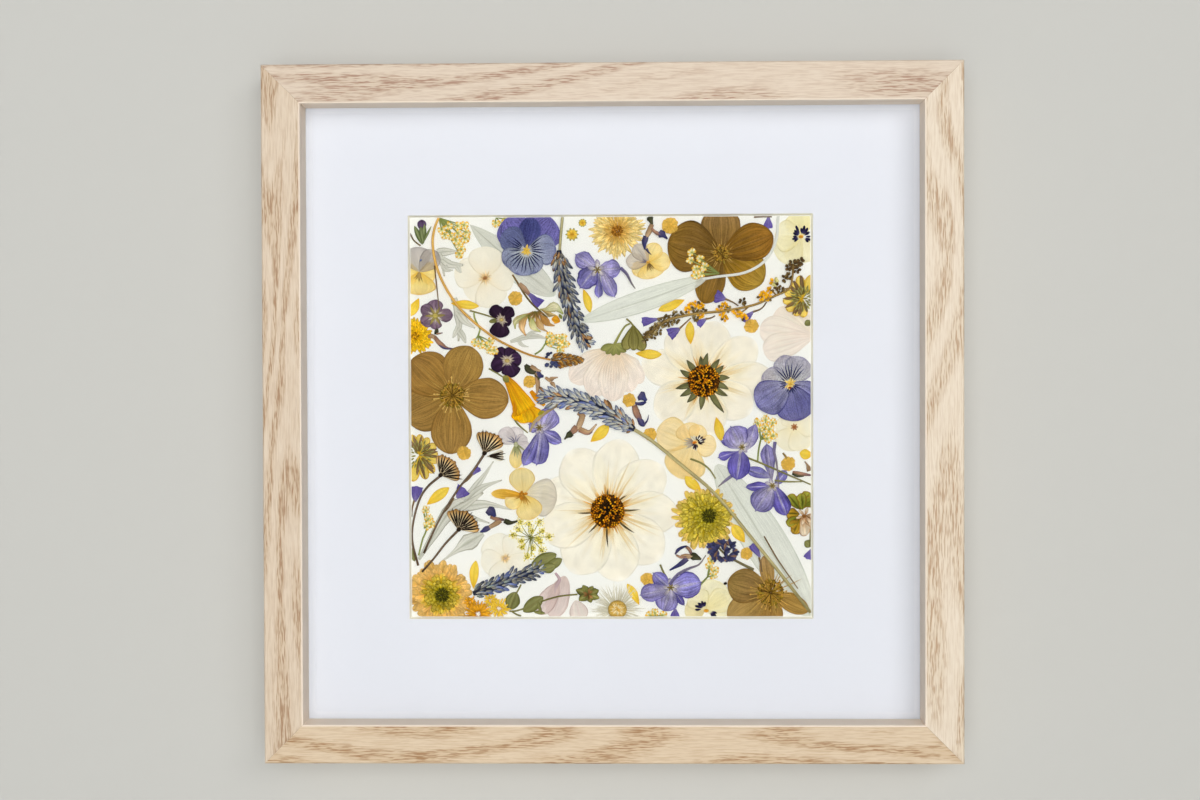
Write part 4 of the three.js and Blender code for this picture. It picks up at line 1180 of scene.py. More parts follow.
class PICTURE_OT_violas(bpy.types.Operator):
    """Lay the violas"""

    bl_idname = "picture.violas"
    bl_label = "Lay the violas"

    def execute(self, context):
        plum = Dye("b4a494 8e7884 7c6678 745c72", rim="5a4058", rim_from=0.8, rays="5a4058", ray_count=9,
                   ray_to=0.9, ray_depth=0.4, fibre=0.45, sheer=0.15, stray=0.12)
        night = Dye("4a3444 382438 301d34 2a182c", rim="241426", rim_from=0.6, rays="1c0e20", ray_count=7,
                    ray_to=0.9, ray_depth=0.5, fibre=0.5, sheer=0.1, stray=0.2)

        def sepal_star(piece):
            for k in range(12):
                piece.petal(30 * k, 4.2, 0.9, 0, 0, 0.5, 0.7, rows=6, columns=2, thick=0.04, step=0.002,
                            dye=solid("e0d8c4 cbbfb0 a8949c", stray=0.1))
            for turn in (60, 118, 180, 240, 300, 5):
                piece.petal(turn, 5.0, 1.4, 0, 0, 0.4, 0.7, dye=solid("8c7c40 a09058 7c7040", stray=0.12),
                            rows=8, columns=4, arch=0.08, step=0.003)
            piece.bud(0, 0, 1.6, 1.4, 0, 0.35, solid("c9b45c a89a54", fibre=0.4))

        bloom("viola_purple", (-83.5, 48.5), 1, (
            (88, 7.8, 7.5), (146, 8, 6.5), (207, 7.6, 6.5), (3, 8.5, 7), (272, 6.5, 6),
        ), (plum,) * 5, "viola_dark", 61, extras=sepal_star, rows=16, columns=12, step=0.02, ripple=0.14,
            notch=0.8)

        def pale_heart(radius):
            def lay(piece):
                for k in range(14):
                    turn = k * 360 / 14
                    piece.petal(turn, radius * piece.draw(0.8, 1.5), 0.9, 0, 0, 0.5, 0.7, rows=5, columns=2,
                                dye=solid("d8cdb4 c4b49c 8a7880", stray=0.12), thick=0.04, step=0.002)
                piece.bud(0, 0, radius * 0.5, radius * 0.4, 0, 0.25, solid("c8b070 a08a54"))
            return lay

        bloom("viola_dark_top", (-51.8, 46.5), 2, (
            (188, 6, 2.2), (350, 5, 5), (262, 8.6, 9.6), (122, 8, 6.8), (48, 7.8, 6.2),
        ), (replace(night, along="7a7840 8a8850", rim="", rays=""), night, night, night, night),
            "viola_dark", 62, extras=pale_heart(2.4), rows=16, columns=12, step=0.03, ripple=0.14)
        bloom("viola_dark_low", (-49.2, 27), 1, (
            (128, 7.6, 6.6), (68, 6.8, 6.2), (206, 8.4, 7.2), (12, 7, 7.2), (292, 8.4, 8.4),
        ), (replace(night, along="54405c 402a48 38223e 30203a"),) * 5, "viola_dark", 63,
            extras=pale_heart(2.8), rows=16, columns=12, step=0.03, ripple=0.18)
        grey = Dye("ccbea6 d0c4b4 d2c8b8 ccc0b4", rim="b8aca2", rim_from=0.85, rays="857c86", ray_count=7,
                   ray_to=0.8, ray_depth=0.35, fibre=0.12, sheer=0.45, stray=0.03)
        honey = Dye("ecc65c f5da88 f7e09c f4d894", rim="ecc878", rim_from=0.88, rays="dfae4c", ray_count=7,
                    ray_to=0.6, ray_depth=0.3, fibre=0.1, sheer=0.3, stray=0.03)

        def grey_eye(piece):
            whiskers(piece, 0, 0, (262, 275, 288, 300, 315), 0.8, 4.5, 0.4, Dye("6a5438 a88c50", sheer=0.1))
            whiskers(piece, 0, 0, (150, 165, 180), 0.8, 4, 0.35, Dye("6a6478 9a94a0", sheer=0.1))
            piece.bud(0, 0, 1.1, 0.8, 0, 0.2, solid("c88c30 dcae5c"))

        bloom("viola_grey", (18.2, 73.6), 1, (
            (218, 9, 8), (284, 8, 13), (2, 10.6, 9), (64, 10, 8.5), (176, 10.6, 8), (128, 10.4, 8),
        ), (honey, honey, honey, honey, grey, grey), "viola_pale", 64, extras=grey_eye)
        smoke = replace(grey, along="e0d2ac e0d6be ded6c6 d6ccc0", rays="c0b6a6", rim="c6bcb0")

        def gold_eye(piece):
            whiskers(piece, 0, 0, (255, 268, 281, 294, 307, 200, 190, 210), 0.8, 5.5, 0.45,
                     Dye("a07020 d8a84c", sheer=0.1))
            for turn, length in ((176, 13), (184, 11), (170, 9)):
                piece.petal(turn, length, 1.4, 0, 0, 0.5, 0.6, rows=8, columns=3, thick=0.05, arch=0.05,
                            step=0.003, dye=solid("c8861c d9a236 e2b44c", stray=0.1))
            for k in range(7):
                piece.bud(piece.draw(-2.4, 1.2), piece.draw(-2, 1), 1.1, 0.7, k * 50, 0.35,
                          solid("b4701c d29434", stray=0.2))

        bloom("viola_gold", (-41.6, -37), 1, (
            (352, 16, 18), (96, 13, 12.5), (178, 15.5, 5), (290, 12.5, 13), (212, 10, 8),
        ), (smoke, replace(honey, along="dcc484 e4d094 e6d49c e0cc90"),
            replace(honey, along="d89e2c e2ae3c e6ba54"), honey, honey), "viola_pale", 65, extras=gold_eye)
        fog = Dye("dcd4ce e0d8d4 ded6d4 d6cccc", rim="c2b8ba", rim_from=0.85, rays="8c8698", ray_count=7,
                  ray_to=0.8, ray_depth=0.3, fibre=0.1, sheer=0.5, stray=0.03)

        def pale_eye(piece):
            whiskers(piece, 0, 0, (120, 140, 160, 90, 65), 0.8, 5, 0.4, Dye("6c6a84 a09cb0", sheer=0.1))
            whiskers(piece, 0, 0, (250, 262, 274, 286, 300, 320), 0.6, 6.5, 0.7,
                     Dye("9aa06a b8b890", sheer=0.2))
            piece.bud(0, -0.5, 1.1, 1.4, 0, 0.2, solid("c8c8a0 b0b08c"))

        bloom("viola_pale", (-45.2, -12.5), 0, (
            (95, 8, 8), (30, 6, 6), (330, 7, 7), (142, 10, 9), (270, 12, 6.4),
        ), (fog, fog, fog, fog, replace(honey, along="d8cfa8 e4cf94 ebd490 e8cc80")), "viola_pale", 66,
            extras=pale_eye)
        return {"FINISHED"}


class PICTURE_OT_pale_blossoms(bpy.types.Operator):
    """Lay the thin cream and pink blossoms"""

    bl_idname = "picture.pale_blossoms"
    bl_label = "Lay the pale blossoms"

    def execute(self, context):
        ivory = Dye("f2e4c4 f5ecd8 f5eedc f5eedc", rays="f0e0c0", ray_count=9, ray_to=0.7, ray_depth=0.2,
                    fibre=0.02, mottle=0.025, sheer=0.12, stray=0.006)

        def eye(colours, radius):
            def lay(piece):
                whiskers(piece, 0, 0, range(0, 360, 26), 0.4, radius * 3.0, 0.6,
                         Dye("dcae74 ecd2a4 f2e2c4", sheer=0.3))
                piece.bud(0, 0, radius, radius * 0.7, 20, 0.2, solid(colours))
            return lay

        bloom("phlox_cream", (-59.6, 66.5), 0.55, (
            (232, 12.5, 13), (165, 15, 15), (288, 14.5, 16), (14, 14, 18), (88, 15, 17),
        ), (ivory,) * 5, "blossom", 71, extras=eye("8a5a2c c09060", 1.3), step=0.004, thick=0.04)
        pearl = replace(ivory, along="f3e9d0 f6efde f6f1e2 f5efde")
        bloom("blossom_pale", (-50.5, -67.5), 0, (
            (130, 13, 15), (50, 12, 14), (195, 12, 13), (262, 12, 14), (335, 12, 12),
        ), (pearl,) * 5, "blossom", 72, extras=eye("b08c6c d8c4a8", 0.9), step=0.004, thick=0.04)
        blush = Dye("f0e4d8 f0e4d8 f2e8da f1e4d8", rays="e0c8b8", ray_count=11, ray_to=1.0,
                    ray_depth=0.3, fibre=0.08, mottle=0.04, sheer=0.1, stray=0.01)
        bloom("blossom_pink", (97, 38), 0.3, (
            (130, 14, 14), (150, 22, 14, 0, 0, 0.7, 0.4), (172, 26, 14, 0, 0, 0.7, 0.4),
            (196, 25, 14, 0, 0, 0.7, 0.4),
        ), (blush, replace(blush, along="f2e6d4 f3e8d6 f2e8d8 f0e2d4"), blush, blush), "blossom", 73,
            step=0.004, thick=0.04, ripple=0.1)
        return {"FINISHED"}


# ---- Spikes, bells, leaves and seed heads --------------------------------------------------------


class PICTURE_OT_larkspurs(bpy.types.Operator):
    """Lay the violet-blue larkspurs with their spurs"""

    bl_idname = "picture.larkspurs"
    bl_label = "Lay the larkspurs"

    def execute(self, context):
        blue = Dye("b4aec4 8a84b8 7a74b2 847eb8", rim="44398c", rim_from=0.76, rib="ccc6d0", rib_to=0.1,
                   rays="4c4290", ray_count=9, ray_to=0.95, ray_depth=0.35, fibre=0.5, mottle=0.3,
                   sheer=0.25, stray=0.12)
        light = replace(blue, along="c8c0c8 a49cbe 9088b8 8880b4", rim="6058a0", rib="c4bec8")
        deep = replace(blue, along="8078ac 6c62a6 6258a4 6e66a8", rim="463c8c")
        dusty = Dye("d0c8b8 d4ccc0 b8b0b8 9a90ac", rim="8078a0", fibre=0.3, sheer=0.1, stray=0.12)
        spur = solid("6c6490 7c7488 8a8076", fibre=0.3)

        def middle(x, z, radius):
            def lay(piece):
                for k in range(5):
                    piece.petal(72 * k + 20 + piece.draw(-16, 16), radius * piece.draw(0.7, 1.1),
                                radius * 0.48, x, z, 0.6, 0.7, dye=dusty, rows=8, columns=6, thick=0.06,
                                crease=0.06, step=0.012, ripple=0.2)
                for k in range(6):
                    piece.petal(60 * k, radius * 0.4, 0.8, x, z, 0.6, 0.6, rows=5, columns=3, arch=0.08,
                                step=0.002, dye=solid("6c5c34 a08c54", stray=0.2))
            return lay

        for name, at, layer, petals, dyes, heart, seed in (
            ("larkspur_top", (-6, 70), 3, (
                (268, 13, 4, 1, 0, 0.8), (4, 11, 9, 0, 0, 0.6, 0.5), (144, 12.5, 8.5, 0, 0, 0.62, 0.7),
                (232, 13, 10, 0, 2), (296, 14, 7, 2, 0),
            ), (blue, light, light, blue, light), (0, 0, 5), 81),
            ("larkspur_middle", (-33, -6), 1, (
                (165, 6, 7, 0, 1), (330, 12, 6, -1, 0), (62, 12, 11, 0, -1),
                (262, 16.5, 11.5, 0, 0, 0.66, 0.45), (245, 17.5, 6, -1, -1, 0.7),
            ), (light, blue, light, blue, blue), (-1, 1, 4.4), 82),
            ("larkspur_upper", (62, -15), 2, (
                (160, 10, 3, 0, 0), (72, 13, 6.5, 3, -1, 0.55, 0.8), (115, 11, 13, 0, 0, 0.55),
                (198, 11, 4.5, 0, -1, 0.8), (262, 14, 11.5, 0, -1, 0.55),
            ), (deep, light, light, deep, deep), (0.5, 0.5, 4), 83),
            ("larkspur_lower", (77, -32), 1, (
                (162, 13, 5.5, 0, 3), (98, 19, 7, 0, 0, 0.7, 0.7), (183, 12.5, 4.5, 0, -1),
                (52, 9, 5, 1, -1), (292, 15, 8, 1, -1, 0.6), (236, 14, 12, 0, -1, 0.6),
            ), (blue, light, deep, blue, deep, light), (0, -1, 4), 84),
            ("larkspur_low", (28.5, -82), 1, (
                (304, 9.5, 3.5, 1, 0), (252, 11, 11.5, 0, 0, 0.6, 0.45), (138, 11, 6.5, 0, 0),
                (12, 14.5, 13, 0, 0, 0.6, 0.45), (192, 14.5, 9, 0, 0, 0.62, 0.45),
            ), (deep, light, blue, blue, light), (0, 0.6, 4.6), 85),
        ):
            bloom(name, at, layer, petals, dyes, "larkspur", seed, crease=0.06, extras=middle(*heart),
                  rows=20, columns=12, ripple=0.13, notch=-0.9)
        for name, line, layer in (
            ("spur_top", [(5, 71), (8, 68), (10, 64), (12, 61)], 3.4),
            ("spur_upper", [(58, -28), (54, -31), (51.2, -33.5)], 0.5),
            ("spur_lower", [(78.3, -12), (77.8, -17), (79, -22), (80, -34)], 2.4),
            ("spur_low", [(28, -80), (32, -75), (38, -72), (42, -70.5), (45.3, -66)], 2.4),
        ):
            piece = Pressed(name, layer=layer, seed=86)
            piece.strip(line, taper(1.6, 1.4, 0.9, 0.4), spur, rows=12, columns=4, arch=0.2)
            piece.finish("larkspur")
        return {"FINISHED"}


def lavender_head(piece, line, width, whorls, dyes, lean=34):
    """A lavender head: whorls of ribbed buds that lean out from the stalk, the lowest laid last."""
    shade = solid("2c2f3c 282c40 22283c", fibre=0.4)
    piece.strip(line, taper(width * 0.3, width * 0.5, width * 0.46, width * 0.2), shade, rows=20, columns=6,
                ripple=0.2, arch=0.15)
    t = (np.arange(whorls) + 0.5) / whorls
    at, way = smooth_line(line, t)
    for k in reversed(range(whorls)):
        heading = math.degrees(math.atan2(way[k, 1], way[k, 0]))
        size = 0.75 + 0.35 * math.sin(math.pi * (0.15 + 0.75 * t[k]))
        for j in (0, 4, 1, 3, 2):
            side = (j - 2) / 2
            turn = heading + side * lean + piece.draw(-11, 11)
            across = turned(0, side * width * 0.2 * size, heading)
            x = at[k, 0] + across[0] + piece.draw(-0.6, 0.6)
            z = at[k, 1] + across[1] + piece.draw(-0.6, 0.6)
            length = width * 0.44 * size * piece.draw(0.75, 1.2)
            dye = dyes[0] if piece.draw() < 0.6 else dyes[1 + int(piece.draw() * (len(dyes) - 1))]
            piece.petal(turn, length, width * 0.16 * size, x, z, 0.5, 0.6, dye=dye, rows=8, columns=5,
                        thick=0.1, arch=0.22, step=0.0015)


class PICTURE_OT_lavender(bpy.types.Operator):
    """Lay the lavender heads and their stalks"""

    bl_idname = "picture.lavender"
    bl_label = "Lay the lavender"

    def execute(self, context):
        slate = solid("a49c84 8c8a80 5c6680 28345e", rim="262a44", rim_from=0.4, rib="b8b29c", rib_to=0.22,
                      fibre=0.5, stray=0.22)
        pale = solid("d2cab0 b4b2a4 8490a8 485686", rim="4a5272", rim_from=0.5, rib="dedac8", rib_to=0.25,
                     fibre=0.4, stray=0.2)
        dead = solid("a8845c b88c5e 6e4c38", rim="4a3426", rim_from=0.5, fibre=0.5, stray=0.25)
        sky = solid("98a0b4 7884b4 4c5ca4", rim="343e78", rim_from=0.5, fibre=0.4, stray=0.2)
        stalk = solid("a39868 a89c6a 9c9060", rib="c0b488", fibre=0.4)
        piece = Pressed("lavender_top_buds", layer=3, seed=91)
        piece.strip([(-22.5, 95.4), (-23.4, 86), (-24, 78)], 1.3, replace(stalk, along="8a8660 98926a"),
                    rows=8, arch=0.2)
        lavender_head(piece, [(-24.4, 76.4), (-23.5, 72), (-22, 64), (-20, 56), (-17.5, 48), (-14.5, 40),
                              (-10.4, 34.4)], 9.8, 17, (slate, slate, pale, pale, dead))
        lavender_head(piece, [(-24.2, 79.5), (-24, 76.6), (-23.6, 73)], 6.5, 2,
                      (replace(slate, along="8c8470 7c7a72 6c6c70"), dead))
        piece.finish("lavender", "lavender_top")
        piece = Pressed("lavender_middle_buds", layer=3, seed=92)
        piece.strip([(10, -5.2), (20, -11.6), (35, -24), (50, -37), (66, -56.5), (82, -76.5), (95, -93.4)],
                    taper(1.7, 1.6, 1.5, 1.5), stalk, rows=30, arch=0.25)
        lavender_head(piece, [(10, -5), (5, -1.5), (-2, 2.5), (-10, 5.5), (-18, 8), (-26, 9), (-32.5, 10)],
                      10.5, 19, (pale, slate, slate, sky, sky, dead))
        lavender_head(piece, [(11.5, -6), (8, -4)], 7, 2, (pale, dead, sky), lean=55)
        piece.finish("lavender", "lavender_middle")
        piece = Pressed("lavender_low_buds", layer=2, seed=93)
        lavender_head(piece, [(-66, -84.2), (-58, -81.2), (-50, -78.2), (-42, -75.2), (-33, -72.4)], 9, 13,
                      (slate, replace(slate, along="b4b498 98a494 6a7a88 3c4a70"), pale, sky))
        piece.finish("lavender", "lavender_low")
        return {"FINISHED"}


class PICTURE_OT_bells(bpy.types.Operator):
    """Lay the orange, pink and purple bells"""

    bl_idname = "picture.bells"
    bl_label = "Lay the bells"

    def execute(self, context):
        amber = solid("e69c00 f4b400 fcc400 f0ae00", rim="d89204", rim_from=0.6, rays="c46c08", ray_count=5,
                      ray_from=0.1, ray_to=0.9, ray_depth=0.5, fibre=0.3, stray=0.06)
        piece = Pressed("bell_orange_petals", layer=2, seed=101)
        for shape, along, crease in (
            ((302, 14, 8, -42, 10), "d98e10 e4a812 eab71c", 0.04),
            ((262, 12, 8, -42, 10), amber.along, 0.04),
            ((282, 13, 9, -42.5, 10), "d88c0c eab414 f0c020", 0.05),
        ):
            piece.petal(*shape, 0.8, 0.45, dye=replace(amber, along=along), rows=14, columns=10,
                        crease=crease, ripple=0.08)
        piece.strip([(-50.2, 19.2), (-47, 15), (-43.6, 9), (-40, 3)], taper(2.6, 4.8, 7, 9.4, 10.5),
                    replace(amber, along="b8781c dc9c14 e8ae10 ecb814"), rows=18, columns=12, crease=0.06,
                    arch=0.15)
        for line, width in (([(-38, 12.5), (-35, 9), (-31.4, 5.6)], 3),
                            ([(-46, 8), (-45.6, 4), (-45.6, 0.4)], 2.6)):
            piece.strip(line, taper(width * 0.6, width, width * 0.5), replace(amber, along="d4870c e2a014"),
                        rows=10, columns=6, arch=0.12, ripple=0.1)
        piece.bud(-33, 2, 1.8, 1.1, 30, 0.3, solid("8c8a2c a89a34", fibre=0.4), sides=10, rings=3)
        piece.petal(125, 4, 3.2, -48.6, 16.6, 0.5, 0.6, dye=solid("7c7838 98904c"), rows=8, columns=5,
                    arch=0.15)
        piece.finish("bell", "bell_orange")
        blush = Dye("e2c8a0 f0e0c8 f3e7d8 f3e6da f1e1d4", rays="d8b8a0", ray_count=11, ray_to=0.75,
                    ray_depth=0.45, fibre=0.12, sheer=0.08, stray=0.012)
        leafy = solid("a3a05c 949454 86864c", rim="74743c", fibre=0.35, stray=0.08)

        def sepals(piece):
            for turn, length, width in ((200, 7, 3.6), (228, 6, 3.4), (262, 5.4, 3), (296, 5.6, 3),
                                        (328, 6.6, 3.4), (350, 6.4, 3)):
                piece.petal(turn, length, width, 0, 2, 0.55, 0.6, dye=leafy, rows=10, columns=6, arch=0.06,
                            step=0.01)
            piece.strip([(0, 2), (2.4, 6.6), (5, 10.6), (7.5, 12)], taper(1.4, 0.9, 0.7), leafy, rows=10,
                        arch=0.15)

        bloom("bell_pink", (2, 32.5), 0.5, (
            (309, 21, 10), (216, 26, 15), (292, 22, 13), (243, 25, 15), (268, 25, 15),
        ), (blush,) * 5, "bell", 102, extras=sepals, crease=0.012, rows=30, columns=22, step=0.005,
            thick=0.05, ripple=0.12)
        piece = Pressed("bell_purple_flower", layer=0.4, seed=103)
        violet = Dye("7c70a4 6a5ca0 5c4e98", rim="4c4090", fibre=0.3, sheer=0.1)
        stem = solid("7a6238 6a5630 5c5230", fibre=0.4)
        piece.strip([(-46.5, 68), (-44, 64), (-41, 59), (-38, 55), (-35, 52), (-30, 47.4)], 0.9, stem,
                    rows=18, arch=0.2)
        piece.strip([(-38.8, 59), (-36, 56.2), (-33.2, 53.6)], taper(1.4, 3.4, 5.6), violet, rows=10,
                    columns=8, ripple=0.1, crease=0.05, arch=0.05)
        piece.strip([(-43.4, 63.6), (-41, 61.4), (-38.6, 58.6)], taper(2.2, 2.8, 1.6),
                    solid("9a7a5c a8886c 8c6a5c"), rows=8, columns=5, arch=0.2)
        piece.finish("bell")
        return {"FINISHED"}


class PICTURE_OT_leaves(bpy.types.Operator):
    """Lay the silver, dusty and green leaves"""

    bl_idname = "picture.leaves"
    bl_label = "Lay the leaves"

    def execute(self, context):
        silver = Dye("dedfd4 e2e4d9 e4e5db dee0d5", rim="d4d7ca", rim_from=0.9, rib="c6c8ba", rib_to=0.05,
                     fibre=0.12, mottle=0.03, sheer=0.25, stray=0.015)
        piece = Pressed("silver_leaf_top", (-66.6, 91.8), 0, 111)
        piece.petal(318.5, 52.5, 14.5, 0, 0, 0.6, dye=replace(silver, along="d2d2c6 d8d8cc dadacf d6d4c8",
                                                              rib="b4b4a2"), rows=40, columns=20,
                    crease=0.02, bend=1.5)
        piece.finish("silver_leaf", "leaf_silver_top")
        piece = Pressed("silver_leaf_long", (46, 66), 2, 112)
        piece.petal(199.5, 63, 10.5, 0, 0, 0.5, dye=silver, rows=44, columns=18, crease=0.02, bend=-1.0)
        piece.strip([(-2, -0.6), (6, 0.7), (16, 1.9), (23, 4.6), (29, 9.5), (33, 18), (34, 29.4)],
                    taper(1.2, 1.3, 1.4), solid("dfe0da e6e6e0 dcdcd4", fibre=0.08), rows=26, arch=0.2)
        piece.finish("silver_leaf", "leaf_silver_long")
        piece = Pressed("silver_leaf_right", (50.5, -23), 0, 113)
        piece.petal(302, 86, 20.5, 0, 0, 0.5, 0.5, dye=silver, rows=56, columns=26, crease=0.02)
        piece.finish("silver_leaf", "leaf_silver_right")
        self.dusty()
        self.green()
        return {"FINISHED"}

    def dusty(self):
        """Felted leaves with lobes, each lobe a strip along a line."""
        felt = Dye("d4d3c7 dad8cd d7d4c8", rim="a09d89", rim_from=0.82, rib="b8b8a6", rib_to=0.12,
                   fibre=0.14, mottle=0.04, sheer=0.15, stray=0.02)
        lobes = (
            ("dusty_leaf_upper", 0.4, [
                ([(-82.6, 78.6), (-78, 79.2), (-72.4, 79)], (3.4, 4.2, 3.0)),
                ([(-82, 77.6), (-80.2, 74), (-79, 67.4)], (3.8, 3.4, 2)),
                ([(-80, 75.6), (-76, 73), (-70, 72.6)], (3, 3.6, 3)), ([(-73, 72), (-71, 69)], (2.6, 2.4)),
                ([(-79, 72), (-77.6, 70.4), (-75, 70.2)], (3, 2.6, 1.4)),
            ]),
            ("dusty_leaf_left", 0.4, [
                ([(-74.5, 57), (-73, 52), (-72, 45), (-72.5, 36.4)], (3, 3.2, 4.6, 2.4)),
                ([(-72.6, 50), (-69, 45.6), (-64.5, 42.6)], (3.2, 4, 2)),
                ([(-73, 51.6), (-69.4, 49.6), (-66.4, 48)], (2.4, 2.4, 1.2)),
                ([(-72.4, 43), (-74, 40), (-75.2, 38)], (3, 2.6, 1.6)),
                ([(-72, 41), (-70, 38), (-69, 35.6)], (3, 3, 2)),
            ]),
            ("dusty_leaf_low", 0.35, [
                ([(-92, -68), (-85, -57), (-77, -45), (-66, -38)], (1.2, 3, 5.6, 7)),
                ([(-70, -40), (-62, -30), (-56, -21)], (4, 3.4, 1.6)),
                ([(-69, -39.6), (-61, -33.4), (-52, -30)], (4, 3.8, 1.8)),
                ([(-72, -43), (-60, -41.4), (-47.4, -44)], (5, 5, 2)),
                ([(-74, -45.6), (-66, -48), (-58, -50.6)], (4, 3.6, 1.6)),
                ([(-78, -47), (-71, -43), (-61, -36)], (3, 4.4, 3)),
            ]),
            ("dusty_leaf_small", 0.3, [
                ([(-47.6, 36), (-40, 38.4), (-34, 38.6), (-29.6, 37)], (1.4, 2.6, 3, 1.4)),
                ([(-40, 38), (-37.4, 40.4), (-33.6, 41)], (1.8, 2, 1)),
                ([(-44, 37), (-42, 34.4), (-39, 33.6)], (1.6, 1.8, 1)),
            ]),
            ("grey_leaf_low", 0.0, [([(-61, -55.5), (-71, -61.6), (-82.4, -70)], (2, 9, 1.6))]),
        )
        for k, (name, layer, strips) in enumerate(lobes):
            piece = Pressed(name, layer=layer, seed=114 + k)
            for line, widths in strips:
                piece.strip(line, taper(*widths, widths[-1] * 0.3), felt, rows=12, columns=8, ripple=0.14,
                            step=0.012)
            piece.finish("silver_leaf")

    def green(self):
        """The heart-shaped leaf and the small green ones."""
        olive = solid("7a7236 877f44 989052", rim="5c5628", rib="989058", rib_to=0.08, rays="5c5628",
                      ray_count=7, ray_to=1.1, ray_depth=0.4, fibre=0.35, stray=0.08)
        piece = Pressed("leaf_heart_lobes", (11, 44.2), 2, 121)
        for shape in ((252, 13, 5.6, 0, 0, 0.7), (290, 13.5, 6, 0, 0, 0.7), (271, 12.5, 5.4, 0, 0, 0.7)):
            piece.petal(*shape, dye=olive, rows=16, columns=12, step=0.03, ripple=0.1, crease=0.03)
        piece.strip([(-3.3, 2.6), (-1, 0.6), (0.2, -1.2)], 0.8, olive, rows=6, arch=0.15)
        piece.finish("dark_leaf", "leaf_heart")
        sage = replace(olive, along="7c7c48 868652 8a8a58", rim="65662f", rays="6a6a38")
        leaves = (
            ("leaves_by_lavender", 2.4, [((-38, -71), (-26, -65.4), 6.5),
                                         ((-31, -72.4), (-23.4, -67.6), 4.6), ((-33, -73), (-26.4, -71), 5)],
             []),
            ("leaf_sprig", 0.5, [((-42, -93), (-32.5, -86), 6.4), ((-48.5, -92), (-45.5, -83.6), 7),
                                 ((-37, -93), (-31.5, -93.8), 1.8), ((-35, -88), (-33.4, -94), 1.6)],
             [[(-43, -80), (-44, -82), (-45.4, -84.4)], [(-48.6, -92.8), (-45.4, -92.6), (-42, -91.6)],
              [(-47.6, -92.8), (-45, -94.4), (-43, -95)], [(-16, -84.7), (-24, -85.5), (-30, -87),
                                                           (-33.4, -88.2)]]),
            ("green_bits_right", 0.4, [((92.5, 43.5), (95.4, 45.4), 3), ((92.4, -59.4), (95.4, -62), 4)],
             [[(95.2, -50), (95, -57), (94.6, -62)]]),
            ("dark_bit_left", 0.4, [((-95.4, -62.4), (-94, -68.8), 2.6)], []),
        )
        for k, (name, layer, blades, stems) in enumerate(leaves):
            piece = Pressed(name, layer=layer, seed=122 + k)
            for foot, tip, width in blades:
                turn = math.degrees(math.atan2(tip[1] - foot[1], tip[0] - foot[0]))
                piece.petal(turn, math.dist(foot, tip), width, *foot, 0.5, 0.6, dye=sage, rows=16,
                            columns=10, step=0.03, ripple=0.06, crease=0.03)
            for line in stems:
                piece.strip(line, 0.75, replace(sage, along="75703e 857f4a"), rows=12, arch=0.2)
            piece.finish("dark_leaf")


class PICTURE_OT_seed_heads(bpy.types.Operator):
    """Lay the dried seed heads on their dark stalks"""

    bl_idname = "picture.seed_heads"
    bl_label = "Lay the seed heads"

    def execute(self, context):
        bract = solid("6c543c bca888 dccaa6 d2b07c ac7428", rim="6a4c2c", rim_from=0.7, fibre=0.35,
                      stray=0.12)
        dark = solid("2a2018 201812 3a2c20", rim="16100c", fibre=0.4, stray=0.15)
        ash = solid("8c8070 d0c6b2 e2dac8 b8aa94", fibre=0.3, stray=0.15)
        wood = solid("42322a 4c3a2c 5a4634", rib="86705a", rib_to=0.25, fibre=0.4)
        for name, at, fans, stalk, seed in (
            ("seed_head_upper", (-60.6, -17.4), ((24, 108, 11.5, 0, 0, bract),
                                                 (-14, 20, 8.6, 1.4, -1.2, ash)),
             [(0.4, 0), (-5, -8), (-12, -16.5), (-20, -29), (-26, -41), (-28.8, -47.5)], 131),
            ("seed_head_middle", (-81.6, -27.8), ((-14, 98, 10.4, 0, 0, bract),),
             [(0.4, 0), (-5.6, -5), (-9.6, -11), (-12.6, -21), (-13.4, -31), (-10.6, -43)], 132),
            ("seed_head_lower", (-73, -53.8), ((-4, 122, 10.4, 0, 0, bract),),
             [(0.4, 0.2), (-6, -6.4), (-12, -14), (-17.4, -20)], 133),
        ):
            piece = Pressed(name + "_bracts", at, 2, seed)
            piece.strip(stalk, taper(1.2, 1.0, 0.9, 1.1), wood, rows=26, arch=0.25)
            for first, last, radius, x, z, dye in fans:
                count = max(4, int((last - first) / 10))
                for k in range(count):
                    turn = first + (last - first) * (k + 0.5) / count
                    piece.petal(turn, radius * piece.draw(0.9, 1.0), radius * 0.27, x, z, 0.78, 0.5, dye=dye,
                                rows=12, columns=6, thick=0.12, arch=0.1, step=0.006)
                piece.height += 0.03
                for near, far, width, number in ((0.3, 1.0, 0.85, count), (0.16, 0.46, 0.7, count // 2 + 1)):
                    for k in range(number):
                        turn = first + (last - first) * (k + 0.5 + piece.draw(-0.15, 0.15)) / number
                        foot = turned(radius * near, 0, turn)
                        piece.petal(turn, radius * (far - near) * piece.draw(0.85, 1.12), width, x + foot[0],
                                    z + foot[1], 0.4, 0.75, dye=dark, rows=9, columns=3, thick=0.15, arch=0.1,
                                    step=0.002, bend=piece.draw(-0.4, 0.4))
            piece.bud(0.4, 0.3, 1.3, 1.1, 40, 0.4, dark, sides=10, rings=3)
            piece.finish("seed_head", name)
        return {"FINISHED"}


